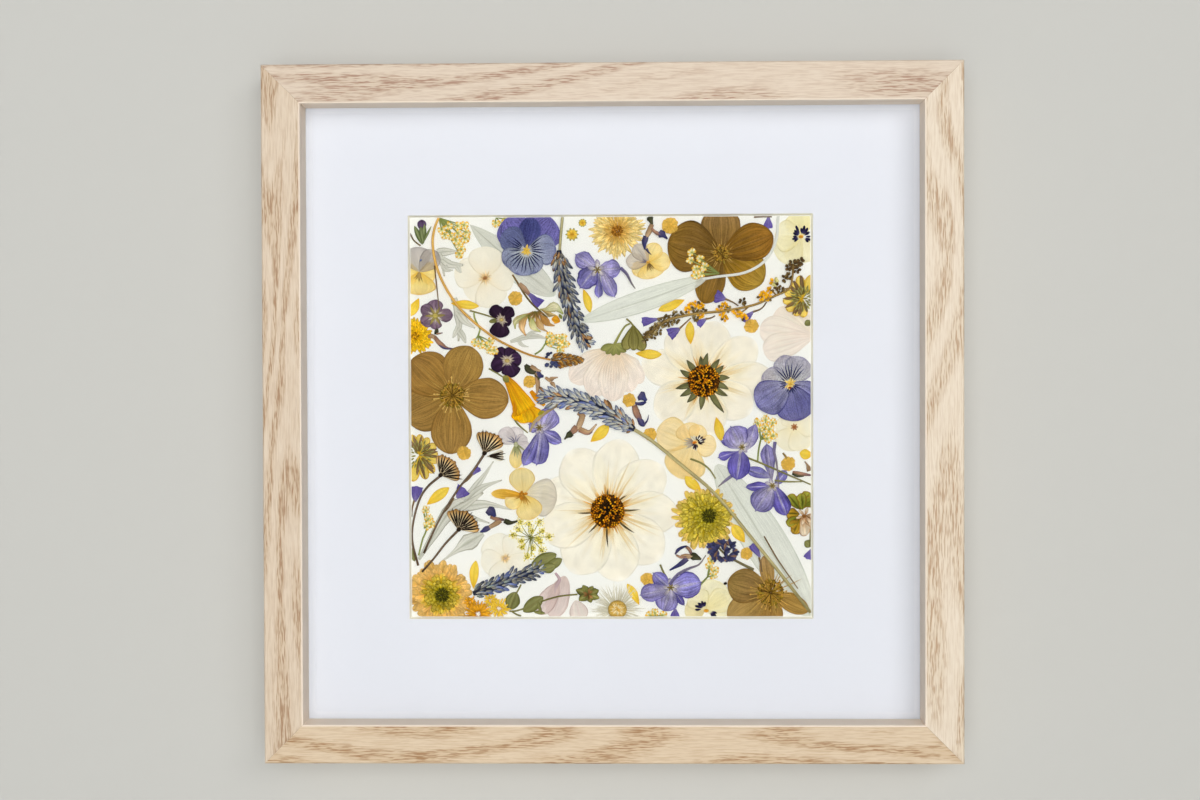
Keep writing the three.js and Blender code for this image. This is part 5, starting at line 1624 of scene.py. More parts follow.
class PICTURE_OT_stems(bpy.types.Operator):
    """Lay the ochre stalk, the flowering twig and the loose stems"""

    bl_idname = "picture.stems"
    bl_label = "Lay the stems"

    def execute(self, context):
        ochre = solid("d2a048 d49c3c c98e34 b88338", rib="e6bd70", rib_to=0.25, fibre=0.3)
        piece = Pressed("ochre_stalk_spike", layer=2.7, seed=141)
        piece.strip([(-81.6, 95.2), (-83.6, 90), (-84.5, 83), (-83, 73), (-79, 63), (-72.5, 53), (-65, 45.5),
                     (-55, 37.8), (-46, 33), (-38, 29.6), (-28.5, 27.4)], taper(1.1, 1.2, 1.1, 0.9), ochre,
                    rows=44, arch=0.25)
        rust = solid("4c3018 94622c b4803c", rim="4a3018", rim_from=0.45, fibre=0.4, stray=0.3)
        bright = solid("7c5020 cc943c e0b060", rim="7c5428", rim_from=0.55, fibre=0.4, stray=0.2)
        dull = solid("4c4438 84785c a89c80", rim="403830", rim_from=0.5, fibre=0.4, stray=0.2)
        navy = solid("34384c 40466c 2c3050", fibre=0.3, stray=0.2)
        flowers = 80
        for k in range(flowers):
            share = k / flowers
            x = -28.6 + 15 * share
            side = (k % 5 - 2) / 2
            turn = side * 42 * (1 - 0.5 * share) + piece.draw(-14, 14)
            spread = 2.6 * (1 - share) ** 0.6 * (0.55 + 0.9 * min(share * 4, 1.0)) * 0.72
            dye = (rust, bright, rust, dull)[k % 4]
            if share < 0.2 and side < 0:
                dye = navy
            piece.petal(turn, 2.5 - 0.9 * share, 1.35, x + piece.draw(-0.4, 0.4), 27.1 + side * spread, 0.6,
                        0.5, dye=dye, rows=6, columns=4, thick=0.1, arch=0.2, step=0.0015)
        for x, z, size in ((-29.6, 30.0, 1.15), (-30.4, 28.6, 0.8), (-30.2, 24.9, 1.2), (-28.2, 24.2, 0.9),
                           (-28.2, 30.6, 0.7)):
            piece.bud(x, z, size, size * 0.85, 30, 0.5, navy, sides=10, rings=3)
        piece.finish("ochre_stem", "stalk_ochre")
        self.twig()
        self.loose()
        return {"FINISHED"}

    def twig(self):
        """The flowering twig: bark, side shoots and clusters of pods and buds."""
        bark = solid("6a4c28 8a6c38 8a7040 6a5430", rib="a48850", rib_to=0.25, fibre=0.4)
        piece = Pressed("twig_flowering_buds", layer=3, seed=142)
        piece.strip([(87, 72.5), (86.6, 66), (85, 60.6), (78, 57.2), (70, 53.6), (62, 51.6), (52, 50),
                     (42, 49.2), (34, 47.8), (27, 46), (21, 41.6), (16, 37.6)], taper(0.9, 1.1, 1.2, 1.3),
                    bark, rows=40, arch=0.25)
        seed_pod = solid("4c3c24 6e5a34 8c7444", rim="3c2e1a", rim_from=0.5, fibre=0.4, stray=0.3)
        pale_pod = solid("6c5c3c 9c8858 bca878", rim="54462c", rim_from=0.6, fibre=0.4, stray=0.2)
        dark_bud = solid("3c2c18 5c4428 7c6438", rim="2c2014", rim_from=0.5, fibre=0.4, stray=0.3)
        orange = solid("c07c10 f0ac18 fcc834", rim="d89018", rim_from=0.75, fibre=0.3, stray=0.15)
        lemon = solid("8c8c3c d8d088 f0e4a0", rim="b0a050", fibre=0.3, stray=0.1)

        def cluster(x, z, spread, count, size, dyes):
            for k in range(count):
                turn = k * SEED_TURN + x * 40
                a, b = turned(spread * math.sqrt((k + 0.3) / count), 0, turn)
                piece.petal(turn + piece.draw(-20, 20), 1.9 * size, 1.45 * size, x + a * 0.5, z + b * 0.5,
                            0.6, 0.5, dye=dyes[k % len(dyes)], rows=6, columns=4, thick=0.1, arch=0.18,
                            step=0.002)

        top = piece.height
        for foot, tip in (((86.4, 65), (83, 65.5)), ((80, 58), (78, 63.5)), ((79, 57.6), (75.5, 60.5)),
                          ((85.6, 61), (81.5, 60.4)), ((64, 52), (63, 54.6)), ((66, 52.4), (61.5, 49)),
                          ((46, 49.6), (43, 52.4)), ((40, 49), (38, 52)), ((87, 69), (85, 71)),
                          ((87.2, 70), (90.5, 73.4))):
            piece.height = top - 0.03
            piece.strip([foot, ((foot[0] + tip[0]) / 2 + 0.3, (foot[1] + tip[1]) / 2), tip], taper(0.8, 0.6),
                        bark, rows=6, columns=3, arch=0.12)
        for spread, count, size, dyes, places in (
            (0.9, 5, 1.0, (dark_bud,), ((85, 71), (89, 72.2), (90.6, 73.6), (88.6, 69.6), (86.8, 72.8))),
            (1.1, 6, 0.9, (seed_pod, dark_bud), ((83, 65.5), (81.2, 60), (85, 66.6), (63, 54.8),
                                                 (79.4, 61.8))),
            (1.0, 7, 0.85, (seed_pod, seed_pod, pale_pod), (
                (56, 51.2), (44.5, 50.2), (40.5, 50.4), (40.8, 47), (33.4, 48.6), (31, 48.8), (31.4, 46),
                (28.5, 44.4), (27, 47), (25.4, 44), (24.4, 45.4), (22.4, 43.4), (23, 40.4), (20.4, 41.8),
                (19, 39.5), (20.6, 38.6), (17.5, 39), (16.4, 36.8),
            )),
            (0.95, 7, 0.88, (orange, orange, orange, orange, seed_pod), (
                (73, 58), (76, 60), (75.3, 56.4), (71.6, 56.6), (54.5, 52.8), (53, 49.4), (54.4, 46.8),
                (52, 51.2), (61.2, 48.8), (59.6, 50.2), (43, 52.8), (38.5, 52.9), (36.9, 50.8), (43, 48.4),
                (41, 53.6), (63.8, 47.2),
            )),
            (1.0, 6, 1.1, (lemon, lemon, orange), ((78, 64),)),
        ):
            for x, z in places:
                piece.height = top
                cluster(x, z, spread, count, size, dyes)
        piece.finish("ochre_stem", "twig_flowering")

    def loose(self):
        """The thin stems of other specimens."""
        green = solid("7e7a48 86824e 928c5c", fibre=0.35)
        brown = solid("6a5438 7c6444 86704c", fibre=0.35)
        stems = (
            ("stem_viola_left", 2.4, 0.6, brown, [(-83.7, 72.5), (-82.6, 62), (-81.5, 51)]),
            ("stem_viola_top", 1.4, 0.75, green, [(-67, 51), (-60, 49), (-54, 47)]),
            ("stem_viola_low", 0.6, 0.8, green, [(-58, 23.3), (-54, 21), (-50.4, 18.6)]),
            ("stem_bell", 0.4, 0.9, green, [(-46.5, 0), (-44, -3.5), (-39.5, -7.5)]),
            ("stem_larkspur_long", 1.9, 0.9, green, [(65, -19.5), (70, -21.5), (77, -24.5), (85, -28),
                                                     (95.4, -32.5)]),
            ("stem_larkspur_side", 2.6, 0.8, green, [(78, -30.4), (84, -31), (91, -31)]),
            ("stem_larkspur_low", 0.5, 0.9, green, [(23.5, -70.5), (25, -74), (27.5, -78)]),
            ("stem_pansy", 2.2, 0.9, green, [(38, -20), (43, -22), (47, -25), (50, -29.5)]),
            ("stem_larkspur_middle", 2.2, 1.5, solid("9a8460 a89470 b4a484", fibre=0.3),
             [(-25, 6), (-31, 2), (-36, -2), (-38.5, -7)]),
            ("stem_seed_right", 1.6, 0.7, brown, [(73, -57), (77, -64), (80, -69), (89, -82)]),
        )
        for k, (name, layer, width, dye, line) in enumerate(stems):
            piece = Pressed(name, layer=layer, seed=143 + k)
            piece.strip(line, taper(width, width, width * 0.7), dye, rows=16, arch=0.18)
            piece.finish("ochre_stem")


# ---- Small specimens -----------------------------------------------------------------------------


class PICTURE_OT_yarrow(bpy.types.Operator):
    """Lay the yarrow sprigs and the fennel umbel"""

    bl_idname = "picture.yarrow"
    bl_label = "Lay the yarrow and fennel"

    def execute(self, context):
        cup = solid("6c7a3c acb46c eeebcc f6f1d8 f4d060", rim="c8c480", rim_from=0.75, fibre=0.25, stray=0.08)
        tip = solid("78883c d4cc7c f2dc80 f4c038 f0ac18", rim="d8a838", rim_from=0.75, fibre=0.2, stray=0.1)
        spot = solid("f0b424 f8d860", fibre=0.2, stray=0.15)
        stalk = solid("7c8648 8c9656 98a064", fibre=0.3)
        sprigs = (
            ("yarrow_1", 0.6, (-81.5, 95.2), [(-80, 89), (-78.5, 86.5), (-75.5, 86), (-76.5, 91), (-72, 91),
                                              (-69, 91.5), (-68, 88), (-68.5, 85), (-71.5, 82), (-73, 84),
                                              (-70.5, 79.5), (-71.5, 77.5), (-72, 87.5)], []),
            ("yarrow_2", 0.6, (-54, 95.4), [(-54.5, 92), (-51, 92), (-49.5, 94.4)], []),
            ("yarrow_3", 2.55, (52, 68), [(38.5, 78.5), (38, 74.5), (42.5, 75.5), (40.5, 70.5), (44.5, 71.5),
                                          (40.5, 67), (43, 68)], []),
            ("yarrow_4", 0.9, (-63, 39), [(-64.5, 35.5), (-61.5, 34.5), (-58.5, 33.5), (-57, 36),
                                          (-57, 31.5), (-55, 31.5)],
             [[(-62, 42), (-64.5, 47), (-65, 50)], [(-63, 39), (-62, 42)]]),
            ("yarrow_5", 0.7, (-31, 35), [(-28.5, 39), (-25, 38), (-22.5, 38), (-21, 35), (-23.5, 34),
                                          (-23.5, 32), (-27.5, 36.5), (-28.5, 35.5)],
             [[(-36, 30), (-33, 32), (-31, 35)]]),
            ("yarrow_6", 0.6, (71.5, -11), [(70, -2.5), (74, -1), (77.5, -2.5), (71, -5.5), (74, -4.5),
                                            (76, -5.5), (74.5, -8), (78, -9), (75, -10.5)],
             [[(71.5, -11), (70.5, -16), (70, -21.5)]]),
            ("yarrow_7", 0.6, (46, -76.5), [(48, -68), (47, -71), (50, -73), (49, -75.5)],
             [[(46, -76.5), (42, -81), (40, -84)]]),
            ("yarrow_8", 0.6, (-89.3, -53), [(-88.5, -44), (-87, -48), (-85.5, -50.5), (-87.5, -51.5)],
             [[(-89.3, -46), (-88, -53), (-90, -58), (-92, -66)]]),
            ("yarrow_9", 0.6, (21, -95.2), [(21, -93), (25, -94.6), (18, -94.8)], []),
        )
        for k, (name, layer, root, heads, stems) in enumerate(sprigs):
            piece = Pressed(name, layer=layer, seed=151 + k)
            for line in stems:
                piece.strip(line, 0.8, stalk, rows=10, arch=0.12, step=0.005)
            for x, z in heads:
                bow = ((root[0] + x) / 2 + piece.draw(-0.8, 0.8), (root[1] + z) / 2)
                piece.strip([root, bow, (x, z)], taper(0.6, 0.5), stalk, rows=6, columns=3, arch=0.1,
                            step=0.002)
            piece.height += 0.05
            for x, z in heads:
                heading = math.degrees(math.atan2(z - root[1], x - root[0]))
                for j in range(9):
                    turn = heading + 30 * (j - 4) + piece.draw(-9, 9)
                    foot = turned(-0.7, 0, heading)
                    piece.petal(turn, piece.draw(1.9, 2.9) * (1 - 0.06 * abs(j - 4)), 1.5, x + foot[0],
                                z + foot[1], 0.68, 0.5, dye=cup if j % 2 else tip, rows=7, columns=4,
                                thick=0.12, arch=0.2, step=0.003)
                for j in range(3):
                    a, b = turned(piece.draw(0.9, 1.8), 0, heading + 44 * (j - 1))
                    piece.bud(x + a, z + b, 0.36, 0.3, 40 * j, 0.3, spot, sides=6, raised=0.16)
            piece.finish("daisy")
        piece = Pressed("fennel_umbel", (-38.5, -57.5), 0.7, 161)
        ray = solid("6c6c34 8c8c40 b4b05c", fibre=0.2)
        flower = solid("e0cc44 f6e874", fibre=0.2, stray=0.14)
        seed = solid("2c2c10 4c4a1c", stray=0.2)
        for turn, reach in ((95, 6.4), (60, 8.6), (28, 6.6), (2, 9.0), (-24, 5.0), (-48, 8.2), (-76, 5.2),
                            (-100, 9.4), (-130, 6), (-158, 4.4), (172, 8.4), (146, 6.8), (122, 8.8),
                            (75, 3.2), (-8, 4.0)):
            x, z = turned(reach, 0, turn)
            piece.strip([(0, 0), (x * 0.5 + piece.draw(-0.7, 0.7), z * 0.5), (x, z)], 0.32, ray, rows=5,
                        columns=2, arch=0.08, step=0.001)
            for j in range(13):
                a, b = turned(piece.draw(0.7, 2.5), 0, turn + 28 * j)
                piece.strip([(x, z), (x + a * 0.5, z + b * 0.5), (x + a, z + b)], 0.22, flower, rows=2,
                            columns=2, step=0.0005)
                piece.bud(x + a, z + b, 0.38, 0.3, 50 * j, 0.22, flower, sides=5)
                if j % 3 == 0:
                    piece.bud(x + a * 0.5, z + b * 0.5, 0.36, 0.28, 70 * j, 0.22, seed, sides=5)
        piece.strip([(0, 0), (0.4, -4.4), (0.6, -9)], 0.5, ray, rows=6, arch=0.08)
        for j in range(7):
            a, b = turned(1.4, 0, 51 * j)
            piece.bud(0.6 + a, -9 + b, 0.5, 0.45, 0, 0.25, flower, sides=6)
        piece.finish("daisy")
        return {"FINISHED"}


class PICTURE_OT_loose_petals(bpy.types.Operator):
    """Lay the loose yellow petals, purple wedges and yellow buttons"""

    bl_idname = "picture.loose_petals"
    bl_label = "Lay the loose petals and buttons"

    def execute(self, context):
        sun = Dye("e8b42c f2cd48 f4d456 f0ca44", rim="e6b838", rim_from=0.75, rays="e2b030", ray_count=3,
                  ray_to=0.9, ray_depth=0.35, fibre=0.12, sheer=0.2, stray=0.04)
        for k, (x, z, turn, length, width, layer) in enumerate((
            (-91.3, 57, 244, 10, 4.5, 0.4), (-76, 54.5, -6, 13.6, 4.2, 1.9), (-12.7, 61, -71, 11.6, 4, 0.4),
            (35.5, 55.7, 203, 13.5, 4.8, 0.4), (12, 30.2, -3, 12.5, 4.6, 0.4),
            (38.3, 34.5, 93, 11, 4.4, 1.6), (-88, -41.7, 38, 13.5, 5, 0.4), (-9.5, -11.8, 40, 12, 5.5, 0.9),
            (43.2, -35.5, 140, 10.5, 5, 1.0), (50.3, -0.2, 283, 11.5, 4.6, 1.3),
            (63.8, -60, 125, 10.5, 5.5, 0.4), (13.4, -89.7, 117, 11.5, 4, 0.9),
            (-65.8, -82, 87, 13.5, 4.5, 0.9), (96, -18, 180, 6, 5, 0.9),
        )):
            piece = Pressed(f"yellow_petal_{k + 1}", layer=layer, seed=171 + k)
            piece.petal(turn, length, width, x, z, 0.56, 0.72, dye=sun, rows=16, columns=10, crease=0.03,
                        ripple=0.06, bend=piece.draw(-0.8, 0.8))
            piece.finish("daisy")
        self.buttons()
        self.wedges()
        return {"FINISHED"}

    def buttons(self):
        """The yellow buttons and two small daisies."""
        gold = Dye("d9a83c e0b450 e3bc5c", rim="d4a040", rim_from=0.6, fibre=0.2, sheer=0.15, stray=0.06)
        for k, (x, z, radius, layer) in enumerate((
            (-45.2, 56.7, 3.4, 0.4), (28.5, 90.8, 4, 2.2), (-38.6, 17, 3.1, 0.4), (67.2, 43, 3.4, 0.9),
            (9, 8, 3.2, 1.2), (-70, -17, 3.3, 1.9), (19, -8.3, 3.1, 1.2), (84.5, -22.5, 3.4, 0.5),
            (64.5, -65.3, 2.9, 0.4), (17.3, -77.5, 3.2, 0.9),
        )):
            piece = Pressed(f"yellow_button_{k + 1}", (x, z), layer, 191 + k)
            for turn in piece.ring(13, 5):
                piece.petal(turn, radius * piece.draw(0.92, 1.08), radius * 0.6, 0, 0, 0.75, 0.45, dye=gold,
                            rows=6, columns=4, thick=0.06, arch=0.05, step=0.004)
            for _, _, a, b in spiral(radius * 0.6, 16):
                piece.bud(a, b, 0.5, 0.5, 0, 0.14, solid("d9a53c e2b85c", stray=0.12), sides=6)
            piece.finish("daisy")
        piece = Pressed("button_stalk", layer=0.45, seed=201)
        piece.strip([(84, -20), (83, -18.6), (82, -17.4)], taper(1.2, 0.8), solid("a88c50 98804a"), rows=6,
                    arch=0.15)
        piece.finish("daisy")
        piece = Pressed("small_daisies", layer=0.4, seed=202)
        for x, z, radius in ((-18, 87, 2.6), (-13, 92.5, 1.6)):
            for j in range(10):
                piece.petal(36 * j, radius * 1.25, 1.2, x, z, 0.6, 0.6, rows=5, columns=3, step=0.003,
                            arch=0.06, dye=solid("8a8c4a a0a05c", stray=0.1))
            for j in range(14):
                piece.petal(25.7 * j, radius, 1.0, x, z, 0.7, 0.5, dye=solid("dca828 ecc850", stray=0.1),
                            rows=5, columns=3, step=0.003, arch=0.06)
            piece.bud(x, z, radius * 0.45, high=0.3, dye=solid("c08a20 d8a83c"), sides=9, rings=3)
        piece.finish("daisy")

    def wedges(self):
        """The purple petals, most with a tail of stalk."""
        violet = Dye("8c82a8 7468a2 685a9e 6c5fa2", rim="584a98", rim_from=0.6, rays="54479a", ray_count=5,
                     ray_to=1.2, ray_depth=0.4, fibre=0.3, sheer=0.1, stray=0.08)
        stalk = solid("8a7050 7c6448 6a5640", fibre=0.3)
        for k, (foot, tip, width, tail, layer) in enumerate((
            ((22.8, 46.6), (15.4, 45.2), 4.4, [(22.4, 46.6), (26, 47.6), (29, 48.5)], 0.4),
            ((33.4, 42.2), (28.0, 39.2), 6.0, [(33, 42), (36, 44.8), (38.5, 47)], 0.4),
            ((45.8, 46.6), (41.8, 43.8), 3.8, [(45.5, 46.5), (48, 47), (50, 48)], 0.4),
            ((68.2, 50), (63.4, 45.6), 4.4, [(68, 49.8), (72, 51.4), (74.5, 54.5)], 0.4),
            ((55.2, 55.8), (50.2, 57.4), 6.4, [(54.8, 56), (58, 54.6), (61, 52.7)], 2.6),
            ((75.4, 95), (75.2, 89.6), 4.6, [(68.5, 94.9), (73, 95), (77, 94.9)], 0.4),
            ((71, -67), (67.6, -60.8), 4.6, [(70.5, -67), (71.4, -70.6), (72, -74)], 2.2),
            ((-66, -27.4), (-62.6, -24.4), 2.6, [(-66, -27), (-68, -29.6), (-70.5, -31.5)], 0.9),
            ((-73.6, -38.6), (-70, -34.2), 7.4, [(-75, -38.4), (-77.5, -43), (-79.7, -45.3)], 0.9),
            ((-93.6, -40.4), (-92.8, -33.2), 6.6, [(-94, -39.6), (-95, -43.6), (-95.2, -47.5)], 0.4),
            ((95.6, -63), (93.4, -67.6), 4, None, 0.9),
            ((30.6, -91.6), (30.5, -95.6), 4.6, None, 0.4),
        )):
            piece = Pressed(f"purple_wedge_{k + 1}", layer=layer, seed=211 + k)
            if tail:
                piece.strip(tail, taper(1.0, 0.7, 0.6), stalk, rows=10, arch=0.15)
            middle = ((foot[0] + tip[0]) / 2, (foot[1] + tip[1]) / 2)
            piece.strip([foot, middle, tip], taper(0.8, width * 0.5, width * 0.86, width), violet, rows=12,
                        columns=9, ripple=0.1, crease=0.05, notch=-0.5)
            piece.finish("larkspur")


class PICTURE_OT_florets(bpy.types.Operator):
    """Lay the brown spurred florets and the wilted blossom"""

    bl_idname = "picture.florets"
    bl_label = "Lay the florets"

    def execute(self, context):
        peach = solid("8a6450 b0866a 9a7466 6a5468", rim="6a4e44", rim_from=0.6, fibre=0.35, stray=0.1)
        indigo = solid("5c5470 40406c 34386a", rim="2a2c54", fibre=0.35, stray=0.1)
        calyx = solid("3a3c28 4a4a34 5a5640", rim="2c2c20", fibre=0.4, stray=0.15)
        tan = solid("a07e5c b49470 c4a888", rim="84664c", fibre=0.3, stray=0.12)
        kinds = {"p": peach, "i": indigo, "c": calyx, "t": tan}
        florets = (
            ("floret_1", 2.3, [("c", [(18.6, 95.2), (19.4, 93.6), (20.2, 91.4)], (2.6, 3.2, 1.8)),
                               ("t", [(20, 91.6), (18.6, 88), (17, 84.6)], (2, 2.6, 2.4)),
                               ("i", [(17.2, 86), (16.4, 82.6), (16.6, 79.6)], (2.6, 2.8, 1.6)),
                               ("p", [(19.6, 89.6), (22, 87.6), (24.4, 86.6)], (1.6, 1.6, 1.8)),
                               ("i", [(23.4, 88), (25.4, 86.4), (27.4, 84.6)], (2.4, 4.2, 1.6)),
                               ("i", [(17.4, 80), (18.4, 78.4), (19.6, 77.2)], (1.4, 1, 0.6))]),
            ("floret_2", 0.5, [("t", [(-87, 38.6), (-84.6, 38.8), (-82.6, 36.6)], (1.6, 2.2, 2)),
                               ("p", [(-84, 38.6), (-81.6, 35.6), (-78.6, 33.4), (-75, 32.8)],
                                (1.8, 2.2, 2.4, 1)),
                               ("i", [(-81.6, 34.6), (-78.6, 33), (-74.8, 32.6)], (0.8, 1.4, 0.8)),
                               ("c", [(-83.2, 39.6), (-82.8, 42), (-82.6, 44.2)], (1.6, 2.0, 1)),
                               ("p", [(-83, 40), (-80, 40.4)], (1.2, 0.8))]),
            ("floret_3", 0.5, [("c", [(-40.6, 25), (-38.6, 22.6), (-35.6, 21)], (1.6, 3.4, 3)),
                               ("t", [(-38, 24.4), (-35.6, 22.8), (-33, 22)], (2, 2.4, 1.4)),
                               ("i", [(-35.6, 20.6), (-33.6, 19.8), (-31.8, 19.4)], (3, 4.2, 2)),
                               ("t", [(-35.4, 21), (-34.6, 16.6), (-34.8, 12.6), (-35.2, 11)],
                                (1.8, 2.2, 2, 1.2)),
                               ("c", [(-34, 18), (-36, 20.4)], (2, 1.6))]),
            ("floret_4", 1.3, [("i", [(13.6, 10.6), (15.4, 9.4), (17.2, 7.6)], (3.2, 5, 2.6)),
                               ("i", [(11.8, 6.6), (14.4, 6.2), (17, 7.2)], (1.2, 1.6, 1.8)),
                               ("p", [(11.4, 5.6), (12.6, 1.6), (14.6, -2)], (2.2, 3.2, 3)),
                               ("i", [(13.4, -0.4), (15.2, -3.6), (16.4, -4.2)], (2, 3.4, 1.4)),
                               ("i", [(15.8, -4), (17.6, -1.6), (18.2, 1)], (1.2, 0.8, 0.5))]),
            ("floret_5", 0.8, [("i", [(-59, -44), (-56.6, -45.6), (-55.4, -47.6)], (3.4, 5.2, 3)),
                               ("p", [(-57.6, -47.6), (-54.4, -48.6), (-51, -49)], (1.6, 1.8, 2)),
                               ("t", [(-52.4, -49.4), (-56, -51.4), (-59.4, -53.4)], (2, 2.6, 2.2)),
                               ("i", [(-58, -52.6), (-60.6, -54), (-62.4, -54.8)], (2.2, 2.8, 1.6)),
                               ("c", [(-51, -49.4), (-48, -50.4), (-44.6, -49.6)], (2.2, 3, 1.4))]),
            ("floret_6", 0.9, [("t", [(-15.6, 2), (-13.4, 0.6), (-14.6, -3), (-16, -6)], (1.6, 3.4, 2.8, 3)),
                               ("p", [(-16, -4.6), (-18, -7), (-20, -9)], (3, 3.4, 2)),
                               ("c", [(-18.4, -7.6), (-20.4, -9), (-22, -10.6)], (3, 3.4, 1.4)),
                               ("t", [(-15, -5.4), (-10.4, -7.2), (-6.6, -3.4)], (2.2, 2.4, 1.4)),
                               ("p", [(-15.2, -6.4), (-11, -8), (-8.6, -7)], (1.4, 1.6, 1))]),
            ("floret_7", 0.9, [("c", [(38, -66), (40.6, -67), (43, -68)], (3, 4, 2)),
                               ("t", [(33.4, -66.6), (36.4, -66.6), (39, -66.4)], (1.4, 2.8, 2.4)),
                               ("i", [(36.4, -67.6), (32.6, -70.6), (28, -73.2)], (2.4, 2.4, 1.4)),
                               ("i", [(30.6, -65.6), (32.6, -63), (36.2, -61.6)], (0.7, 1.6, 1.4)),
                               ("p", [(36, -62), (37.6, -63.6), (38.2, -65.6)], (1.4, 1.6, 1.6)),
                               ("p", [(31, -66), (33.6, -67), (36, -66.6)], (0.8, 1.2, 1.4))]),
            ("floret_right", 0.5, [("p", [(86.6, -26.6), (91, -27.4), (95.4, -28)], (1.4, 2, 1.6)),
                                   ("c", [(86.4, -27.2), (89, -28.2), (92, -28.4)], (1, 1.8, 1.2)),
                                   ("t", [(94.6, -26), (93.8, -23.6), (92.4, -21.4)], (2.4, 2, 1))]),
            ("floret_small", 0.45, [("t", [(-31, 19), (-29, 17.4), (-27, 14.6)], (1.2, 1.6, 0.8)),
                                    ("t", [(-29, 17.6), (-27.4, 18.6), (-25, 19)], (1.4, 2.2, 1)),
                                    ("t", [(-28.4, 16.6), (-27, 15.4), (-26.2, 14)], (1.4, 2, 1))]),
        )
        for k, (name, layer, scraps) in enumerate(florets):
            piece = Pressed(name, layer=layer, seed=231 + k)
            for kind, line, widths in scraps:
                piece.strip(line, taper(*widths, widths[-1] * 0.5), kinds[kind], rows=10, columns=6,
                            thick=0.12, arch=0.22, ripple=0.12, step=0.012)
            piece.finish("seed_head")
        self.wilted()
        return {"FINISHED"}

    def wilted(self):
        """The wilted blossom with its curled petals."""
        piece = Pressed("flower_wilted", (-35.5, 50.5), 0.9, 241)
        celery = Dye("84883c b4b878 d8d0a0 9cac58", rim="a88c50", rim_from=0.7, rays="a8803c", ray_count=5,
                     ray_depth=0.5, ray_to=0.8, fibre=0.45, sheer=0.1, stray=0.06)
        rust = replace(celery, along="848440 d0a468 e6c290 cc9c5c", rim="b07c44")
        cream = replace(celery, along="a8a468 d4d4a4 e4dcb8 8ca048", rim="a09c60")
        for line, widths, dye in (
            ([(0, 0), (-6, -2.6), (-9.6, -5), (-9.8, -8.4)], (1, 3, 3.6, 3.2, 1), celery),
            ([(-3, -1), (-6, -4.6), (-6.6, -8), (-4.8, -11.6)], (2, 3.4, 3, 1.6), rust),
            ([(-1.4, 0), (-3, -2.6), (-3.2, -5)], (1, 2, 1), solid("6c7030 8c9048")),
            ([(0.4, 0), (-1.6, -4.6), (-0.6, -8), (2.4, -9.8)], (1.4, 3.4, 3.6, 1.4), celery),
            ([(1, -0.6), (1.2, -4.6), (3, -8), (5.6, -9.8)], (1.4, 3, 3, 1), rust),
            ([(1, 0), (3.6, -3.6), (6, -6), (9, -7)], (1.2, 3.2, 3.4, 1.6),
             replace(rust, along="9c6c2c c08c4c d0a060")),
            ([(7.6, -3.8), (9.6, -4), (11.6, -5)], (3, 4.2, 3), solid("d89018 e0a028 c88414")),
            ([(2, 0.8), (6, 1), (9.6, 1.8), (13.2, -1.4)], (1.2, 3.6, 5, 2.4), cream),
            ([(3, 0.6), (6.4, -1.4), (9.6, -2)], (1, 2.4, 1.4), replace(celery, along="a88c50 d0b884")),
        ):
            piece.strip(line, taper(0.6, *widths, 0.5), dye, rows=16, columns=9, crease=0.08, ripple=0.2,
                        step=0.025)
        for k in range(7):
            piece.petal(200 + k * 24, 4.4, 0.9, 0, 0, 0.5, 0.7, dye=solid("5c5c28 8c6c3c a8784c", stray=0.2),
                        rows=5, columns=3, arch=0.1, step=0.003)
        piece.petal(300, 2.6, 1.6, 11.2, -1.4, 0.5, 0.6, dye=solid("7c8040 8c9050"), rows=6, columns=4,
                    arch=0.1)
        piece.finish("blossom")


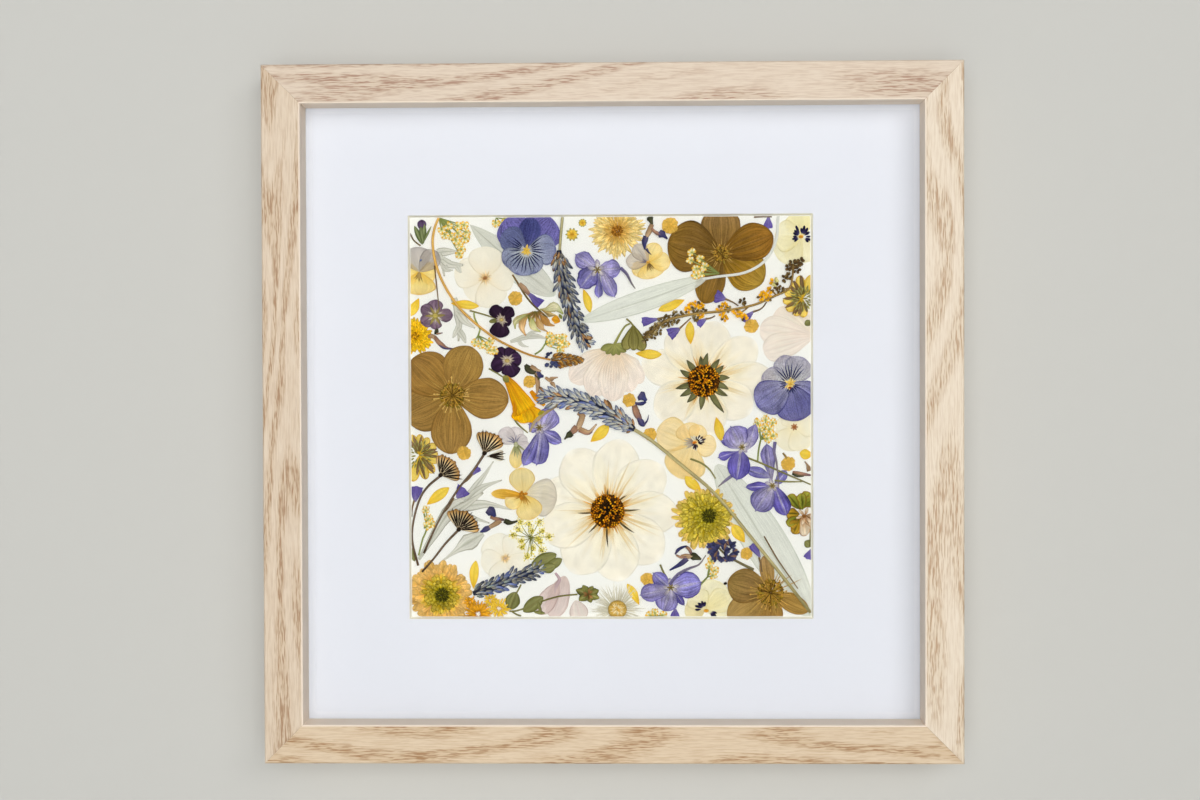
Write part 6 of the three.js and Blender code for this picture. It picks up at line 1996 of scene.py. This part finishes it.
class PICTURE_OT_edge_bits(bpy.types.Operator):
    """Lay the buds, navy cluster and broken bits along the edges"""

    bl_idname = "picture.edge_bits"
    bl_label = "Lay the buds and edge bits"

    def execute(self, context):
        leaf = solid("5c683c 6c7848 788456", rim="46522c", rib="8c9468", fibre=0.35, stray=0.1)
        piece = Pressed("bud_sprig", layer=0.5, seed=251)
        piece.strip([(-95.4, 88), (-93.6, 84.6), (-90.4, 82)], 0.7, solid("6e5a34 7c6840"), rows=12,
                    arch=0.15)
        piece.petal(92, 5.4, 4.4, -89.6, 89, 0.6, 0.5, dye=solid("4c3a50 5c4868 463450", fibre=0.4), rows=10,
                    columns=7, arch=0.15, crease=0.05)
        for foot, turn, length, width in (((-89.5, 82.6), 113, 9.6, 2.6), ((-89.5, 82.6), 84, 10, 2.8),
                                          ((-89, 83), 99, 8.4, 2.8), ((-89.4, 83), 63, 9.4, 1.1)):
            piece.petal(turn, length, width, *foot, 0.5, 0.65, dye=leaf, rows=12, columns=6, arch=0.1,
                        step=0.02)
        piece.finish("dark_leaf")
        navy = solid("2c2c44 3a3c60 50507c", rim="1e1e30", fibre=0.35, stray=0.3)
        piece = Pressed("navy_cluster", layer=1.9, seed=252)
        piece.strip([(50, -61), (55, -66), (62, -70), (68, -73)], taper(0.9, 1.1, 1.4),
                    solid("6c6448 746c4c"), rows=16, arch=0.2)
        for x, z, turn in ((48.5, -62.5, 140), (53, -61, 100), (56.5, -61.5, 60), (58, -64.5, 330),
                           (50, -66, 230), (53, -67, 260), (54, -64, 20), (51, -63.6, 180),
                           (56.6, -66.4, 300)):
            for k in range(7):
                piece.petal(turn + 30 * (k - 3), piece.draw(2.2, 3.8), 1.6, x, z, 0.6, 0.55, rows=6,
                            columns=4, arch=0.22, step=0.002, dye=solid("7c5c48 8c6c58") if k == 5 else navy)
        piece.bud(54.5, -79.5, 0.9, 0.7, 20, 0.4, solid("2c2620"))
        piece.finish("lavender")
        piece = Pressed("green_bud", (-11, -85), 0.8, 253)
        khaki = solid("5c5c34 74743c 86843f", rim="4a4828", rib="9a955c", fibre=0.45, stray=0.14)
        for turn, length, width in ((160, 6.2, 4.4), (120, 5, 4), (58, 4.6, 3.6), (20, 5.6, 4),
                                    (-20, 5.8, 3.8), (-70, 4.4, 3.6), (215, 5.4, 4)):
            piece.petal(turn, length, width, 0, 0.4, 0.42, 0.75, dye=khaki, rows=12, columns=8, arch=0.12,
                        crease=0.06, step=0.02, ripple=0.15)
        for k in range(9):
            piece.petal(40 * k, 2.9, 1.3, 0.2, 0.3, 0.6, 0.6, rows=7, columns=4, arch=0.14, step=0.006,
                        dye=solid("5c3c20 9a6a3c 8c7c48" if k % 3 else "4c4c28 7c7c40", fibre=0.4, stray=0.2))
        piece.finish("dark_leaf")
        self.pink()
        self.edges()
        return {"FINISHED"}

    def pink(self):
        """The pink petals by the lower edge."""
        rose = Dye("dcc8c0 e0cec8 e2d2cc e0cec8", rim="cfb6b0", rim_from=0.8, rays="ccb2ae", ray_count=9,
                   ray_to=1.0, ray_depth=0.4, fibre=0.08, sheer=0.45, stray=0.02)
        piece = Pressed("pink_petals", layer=0.2, seed=254)
        piece.petal(253, 21, 11, -22, -76, 0.55, 0.5, dye=rose, rows=24, columns=16, step=0.03, ripple=0.06,
                    crease=0.02)
        piece.petal(238, 18, 9, -25, -79, 0.6, 0.5, dye=rose, rows=22, columns=14, step=0.03, ripple=0.06,
                    crease=0.02)
        piece.petal(285, 10, 9, -17, -87.6, 0.6, 0.5, dye=replace(rose, along="e2d6cc e8ddd4"), rows=16,
                    columns=12, step=0.03)
        piece.strip([(-26.6, -74.4), (-24.6, -77.6), (-26, -80.4), (-27, -84)], taper(1, 1.6, 1.8, 0.8),
                    Dye("b49aa0 bca4a8 d0bcba", sheer=0.1), rows=12, columns=5, arch=0.1)
        piece.finish("blossom")

    def edges(self):
        """The ray flowers, the cream flower and the curled leaf near the edges."""
        piece = Pressed("orange_asters", layer=1.9, seed=255)
        orange = solid("b8740c e09c1c f0b83c", rim="b06c14", rim_from=0.65, fibre=0.4, stray=0.2)
        yellow = solid("e0ac20 f0c63c f6d85c", rim="cc9420", fibre=0.3, stray=0.1)
        for x, z, radius, count, dye in ((-63.5, -94, 8.6, 64, orange), (-53.6, -91.4, 6.4, 34, yellow),
                                         (-67.4, -88.4, 3.8, 22, orange), (-57.4, -87.6, 4.6, 22, yellow)):
            for k in range(count):
                turn = k * SEED_TURN
                reach = radius * (1 - 0.6 * k / count) * piece.draw(0.8, 1.05)
                foot = turned(reach * 0.2, 0, turn)
                piece.petal(turn, reach * 0.8, 0.95, x + foot[0], z + foot[1], 0.7, 0.55, dye=dye, rows=6,
                            columns=3, arch=0.1, step=0.0015, bend=piece.draw(-0.5, 0.5))
        piece.finish("aster")
        cream = Dye("f3e6bc f5ebcc f5eed6 f4ecd0", fibre=0.03, mottle=0.03, sheer=0.12, stray=0.008)
        piece = Pressed("cream_flower_right", (87.5, -5), 0.1, 256)
        for shape in ((196, 9, 12), (245, 12, 14), (295, 12, 13), (10, 9, 12), (120, 7, 9)):
            piece.petal(*shape, dye=cream, rows=16, columns=12, step=0.005, ripple=0.05)
        piece.height += 0.06
        for k in range(7):
            piece.petal(k * 51, 1.8, 0.8, 0, 0, 0.6, 0.6, dye=solid("9a5c30 b88050", stray=0.1), rows=5,
                        columns=3, step=0.002, arch=0.06)
        piece.finish("blossom")
        curled = solid("5c6420 84882c a8a440", rim="8a6420", rim_from=0.6, rib="5a5a1c", fibre=0.55,
                       mottle=0.14, stray=0.15)
        ochre = replace(curled, along="84641c b48c24 c49c34", rim="6c4c1c")
        fawn = solid("b08050 dcc09c eadcc4", rim="a87040", rim_from=0.7, rays="a06c40", ray_count=5,
                     fibre=0.3, stray=0.08)
        piece = Pressed("curled_leaf", (90, -45.5), 0.8, 257)
        for shape, dye in (((62, 9.6, 6.4, 0, 1), curled), ((28, 7, 6, 1, 3), curled),
                           ((128, 8.6, 5.6, 0, 1.4), curled), ((176, 6.6, 5.4, 0, -1), ochre),
                           ((214, 7.4, 5.4, 0, -2), curled), ((250, 9, 5.4, 0, -2), ochre),
                           ((278, 9.6, 5.4, 1, -2), fawn), ((318, 8, 6, 1, -2), fawn),
                           ((196, 5, 4, 0, -5), ochre), ((96, 8, 4.6, 1.4, 1), curled),
                           ((340, 6, 4, 2, -4), fawn)):
            piece.petal(*shape, 0.66, 0.45, dye=dye, rows=14, columns=10, step=0.025, ripple=0.26,
                        crease=0.1, arch=0.06)
        for k in range(6):
            piece.petal(60 * k + 12, 4.4, 1.5, 2.4, -2, 0.6, 0.6, dye=fawn, rows=8, columns=4, arch=0.12,
                        step=0.006, ripple=0.2)
        for k in range(5):
            piece.petal(40 * k + 210, 5.0, 0.5, 2.6, -1.6, 0.4, 0.7, dye=solid("5c4424 7c5c34"), rows=6,
                        columns=2, arch=0.1, step=0.003)
        piece.bud(2, -2, 1.2, 1.0, 0, 0.35, solid("8a5a2c", fibre=0.4))
        piece.finish("dark_leaf")


BARE_PAPER = "f6f4ee"
JUST_ABOVE = 1e-4  # mm, least height over an outline at which it counts as lying beneath


class PICTURE_OT_show_through(bpy.types.Operator):
    """Let what lies beneath each thin petal show through it"""

    bl_idname = "picture.show_through"
    bl_label = "Let lower petals show through"

    def execute(self, context):
        origin = np.array([FRAME_MIDDLE.x + WINDOW_OFF_X * MM, FRAME_MIDDLE.z + WINDOW_OFF_Z * MM])
        paper = linear(BARE_PAPER)
        for piece in LAID:
            mesh = piece.data
            n = len(mesh.vertices)
            spots = np.empty(n * 3, np.float32)
            mesh.vertices.foreach_get("co", spots)
            x, z = ((spots.reshape(-1, 3)[:, [0, 2]] - origin) / MM).T
            sheer = np.empty(n, np.float32)
            height = np.empty(n, np.float32)
            mesh.attributes["sheer"].data.foreach_get("value", sheer)
            mesh.attributes["height"].data.foreach_get("value", height)
            under = np.ones((n, 3))
            if sheer.max() > 0:
                low = (x.min(), z.min())
                high = (x.max(), z.max())
                for outline, level, colour in SHOWING:
                    a = outline.min(axis=0)
                    b = outline.max(axis=0)
                    apart = a[0] > high[0] or b[0] < low[0] or a[1] > high[1] or b[1] < low[1]
                    if apart or level >= height.max():
                        continue
                    near = np.nonzero((x > a[0]) & (x < b[0]) & (z > a[1]) & (z < b[1]) & (height > level +
                                                                                           JUST_ABOVE))[0]
                    if len(near):
                        hit = near[inside(outline, x[near], z[near])]
                        veil = np.clip(colour / paper, 0, 1)
                        under[hit] *= 1 - sheer[hit, None] * (1 - veil)
            store(mesh, "under", np.column_stack([under, np.ones(n)]))
        return {"FINISHED"}


def inside(outline, x, z):
    """Which of the places lie inside a closed outline."""
    within = np.zeros(len(x), bool)
    for a, b in zip(outline, np.roll(outline, -1, axis=0)):
        crosses = (a[1] > z) != (b[1] > z)
        if crosses.any():
            edge = a[0] + (z - a[1]) * (b[0] - a[0]) / (b[1] - a[1] if b[1] != a[1] else 1e-9)
            within ^= crosses & (x < edge)
    return within


# ---- Stage ---------------------------------------------------------------------------------------


WALL_GAP = 0.0005  # m, from the frame's back to the wall
WALL_RISE = 1.6
WALL_HALF_WIDTH = 2.4
FLOOR_DROP = 0.75  # from the frame's middle down to the floor
FLOOR_REACH = 2.6
SWEEP_RADIUS = 0.25  # of the curve between wall and floor
SWEEP_STEPS = 12
ROOM_COLOUR = (0.97, 0.985, 1.0, 1.0)
LENS = 50.0  # mm, on a sensor 36 mm wide
VIEW_PLACE = Vector((0.01014, -0.80435, -0.11862))
VIEW_RIGHT = Vector((0.99979, 0.02022, -0.00339))
VIEW_BACK = Vector((0.02026, -0.9997, 0.01393))


def lamp(name, place, target, size, power, colour):
    """A soft lamp at a place, aimed at a target."""
    light = bpy.data.lights.new(name, "AREA")
    light.shape = "RECTANGLE"
    light.size, light.size_y = size
    light.energy = power
    light.color = colour
    item = bpy.data.objects.new(name, light)
    item.location = place
    item.visible_transmission = False
    item.rotation_euler = (Vector(target) - Vector(place)).to_track_quat("-Z", "Y").to_euler()
    bpy.context.scene.collection.objects.link(item)
    return item


class PICTURE_OT_stage(bpy.types.Operator):
    """Hang the frame on a pale wall, light it softly and set the camera"""

    bl_idname = "picture.stage"
    bl_label = "Set the stage"

    def execute(self, context):
        settings = context.scene.pressed_picture
        self.wall()
        middle = FRAME_MIDDLE
        # metres to the right of the frame's middle, above it and in front of it, side in metres, watts
        for name, across, up, out, size, power, colour in (
            ("front_light", 0.0, 0.05, 1.9, 1.4, settings.front_power, (1.0, 0.99, 0.975)),
            ("main_light", 1.05, 0.75, 1.8, 0.9, settings.key_power, (1.0, 0.985, 0.96)),
            ("top_light", -0.15, 1.05, 1.6, 0.9, 0.85 * settings.key_power, (1.0, 0.99, 0.975)),
            ("fill_left", -1.0, 0.2, 1.7, 0.8, settings.fill_power, (0.97, 0.985, 1.0)),
            ("fill_low", 0.2, -1.0, 1.7, 0.8, 0.4 * settings.fill_power, (1.0, 0.99, 0.98)),
            ("back_light", 0.6, 0.9, -1.6, 1.3, 14.0, (1.0, 1.0, 1.0)),
        ):
            light = lamp(name, (middle.x + across, -out, middle.z + up), middle, (size, size), power, colour)
            light.visible_glossy = name in ("main_light", "top_light", "back_light")
            light.data.use_shadow = name in ("front_light", "main_light", "back_light")
        world = bpy.data.worlds.new("room")
        context.scene.world = world
        world.use_nodes = True
        world.cycles_visibility.transmission = False
        world.cycles_visibility.glossy = False
        world.node_tree.nodes["Background"].inputs["Color"].default_value = ROOM_COLOUR
        world.node_tree.nodes["Background"].inputs["Strength"].default_value = settings.room_light
        context.scene.view_settings.view_transform = "Standard"
        self.camera(context)
        return {"FINISHED"}

    def wall(self):
        """A sweep that comes down behind the frame and curves into a floor."""
        wall = WALL + WALL_GAP
        radius = SWEEP_RADIUS
        floor = FRAME_MIDDLE.z - FLOOR_DROP
        line = [(wall, FRAME_MIDDLE.z + WALL_RISE), (wall, floor + radius)]
        for k in range(1, SWEEP_STEPS + 1):
            angle = 0.5 * math.pi * k / SWEEP_STEPS
            line.append((wall - radius * (1 - math.cos(angle)), floor + radius * (1 - math.sin(angle))))
        line.append((-FLOOR_REACH, floor))
        verts = [(x, y, z) for y, z in line for x in (-WALL_HALF_WIDTH, WALL_HALF_WIDTH)]
        faces = [(2 * k + 1, 2 * k, 2 * k + 2, 2 * k + 3) for k in range(len(line) - 1)]
        mesh = bpy.data.meshes.new("wall_and_floor")
        mesh.from_pydata(verts, [], faces)
        mesh.polygons.foreach_set("use_smooth", [True] * len(faces))
        g = Graph("pale_wall")
        grit = g.noise(position(g), 700.0, 3.0, 0.6)
        face = g.node("ShaderNodeBsdfPrincipled", {}, {
            "Base Color": rgba("c2c2be"), "Roughness": 0.95, "Specular IOR Level": 0.1,
            "Normal": g.bump(grit, 0.0001, 0.3),
        })
        clear = g.node("ShaderNodeBsdfTransparent")
        back = g.node("ShaderNodeNewGeometry", out="Backfacing")
        g.node("ShaderNodeOutputMaterial", {},
               {"Surface": g.node("ShaderNodeMixShader", {}, {0: back, 1: face, 2: clear})})
        mesh.materials.append(g.material)
        sweep = bpy.data.objects.new("wall_and_floor", mesh)
        sweep.visible_shadow = False
        bpy.context.scene.collection.objects.link(sweep)

    def camera(self, context):
        """The camera in front of the frame, a little above its middle."""
        camera = bpy.data.cameras.new("viewpoint")
        camera.lens = LENS
        camera.sensor_width = 36.0
        camera.clip_start = 0.01
        item = bpy.data.objects.new("viewpoint", camera)
        back = VIEW_BACK.normalized()
        up = back.cross(VIEW_RIGHT.normalized()).normalized()
        right = up.cross(back)
        item.matrix_world = Matrix((
            (right.x, up.x, back.x, VIEW_PLACE.x),
            (right.y, up.y, back.y, VIEW_PLACE.y),
            (right.z, up.z, back.z, VIEW_PLACE.z),
            (0, 0, 0, 1),
        ))
        context.scene.collection.objects.link(item)
        context.scene.camera = item


# ---- Panel and registration ----------------------------------------------------------------------


STEPS = (
    PICTURE_OT_oak_rails, PICTURE_OT_boards_and_glass, PICTURE_OT_hellebores, PICTURE_OT_cosmos,
    PICTURE_OT_many_petalled,
    PICTURE_OT_pansies, PICTURE_OT_violas, PICTURE_OT_pale_blossoms, PICTURE_OT_larkspurs,
    PICTURE_OT_lavender,
    PICTURE_OT_bells, PICTURE_OT_leaves, PICTURE_OT_seed_heads, PICTURE_OT_stems, PICTURE_OT_yarrow,
    PICTURE_OT_loose_petals, PICTURE_OT_florets, PICTURE_OT_edge_bits, PICTURE_OT_show_through,
    PICTURE_OT_stage,
)


class PICTURE_PT_panel(bpy.types.Panel):
    """Settings and steps of the pressed flower frame"""

    bl_idname = "PICTURE_PT_panel"
    bl_label = "Pressed flower frame"
    bl_space_type = "VIEW_3D"
    bl_region_type = "UI"
    bl_category = "Pressed flowers"

    def draw(self, context):
        settings = context.scene.pressed_picture
        for name in ("disc_florets", "softening", "front_power", "key_power", "fill_power", "room_light"):
            self.layout.prop(settings, name)
        for step in STEPS:
            self.layout.operator(step.bl_idname)


CLASSES = (PictureSettings, *STEPS, PICTURE_PT_panel)


def register():
    for item in CLASSES:
        bpy.utils.register_class(item)
    bpy.types.Scene.pressed_picture = PointerProperty(type=PictureSettings)


def unregister():
    del bpy.types.Scene.pressed_picture
    for item in reversed(CLASSES):
        bpy.utils.unregister_class(item)


def main():
    """Runs every step."""
    register()
    for step in STEPS:
        area, name = step.bl_idname.split(".")
        getattr(getattr(bpy.ops, area), name)()


if __name__ == "__main__":
    main()
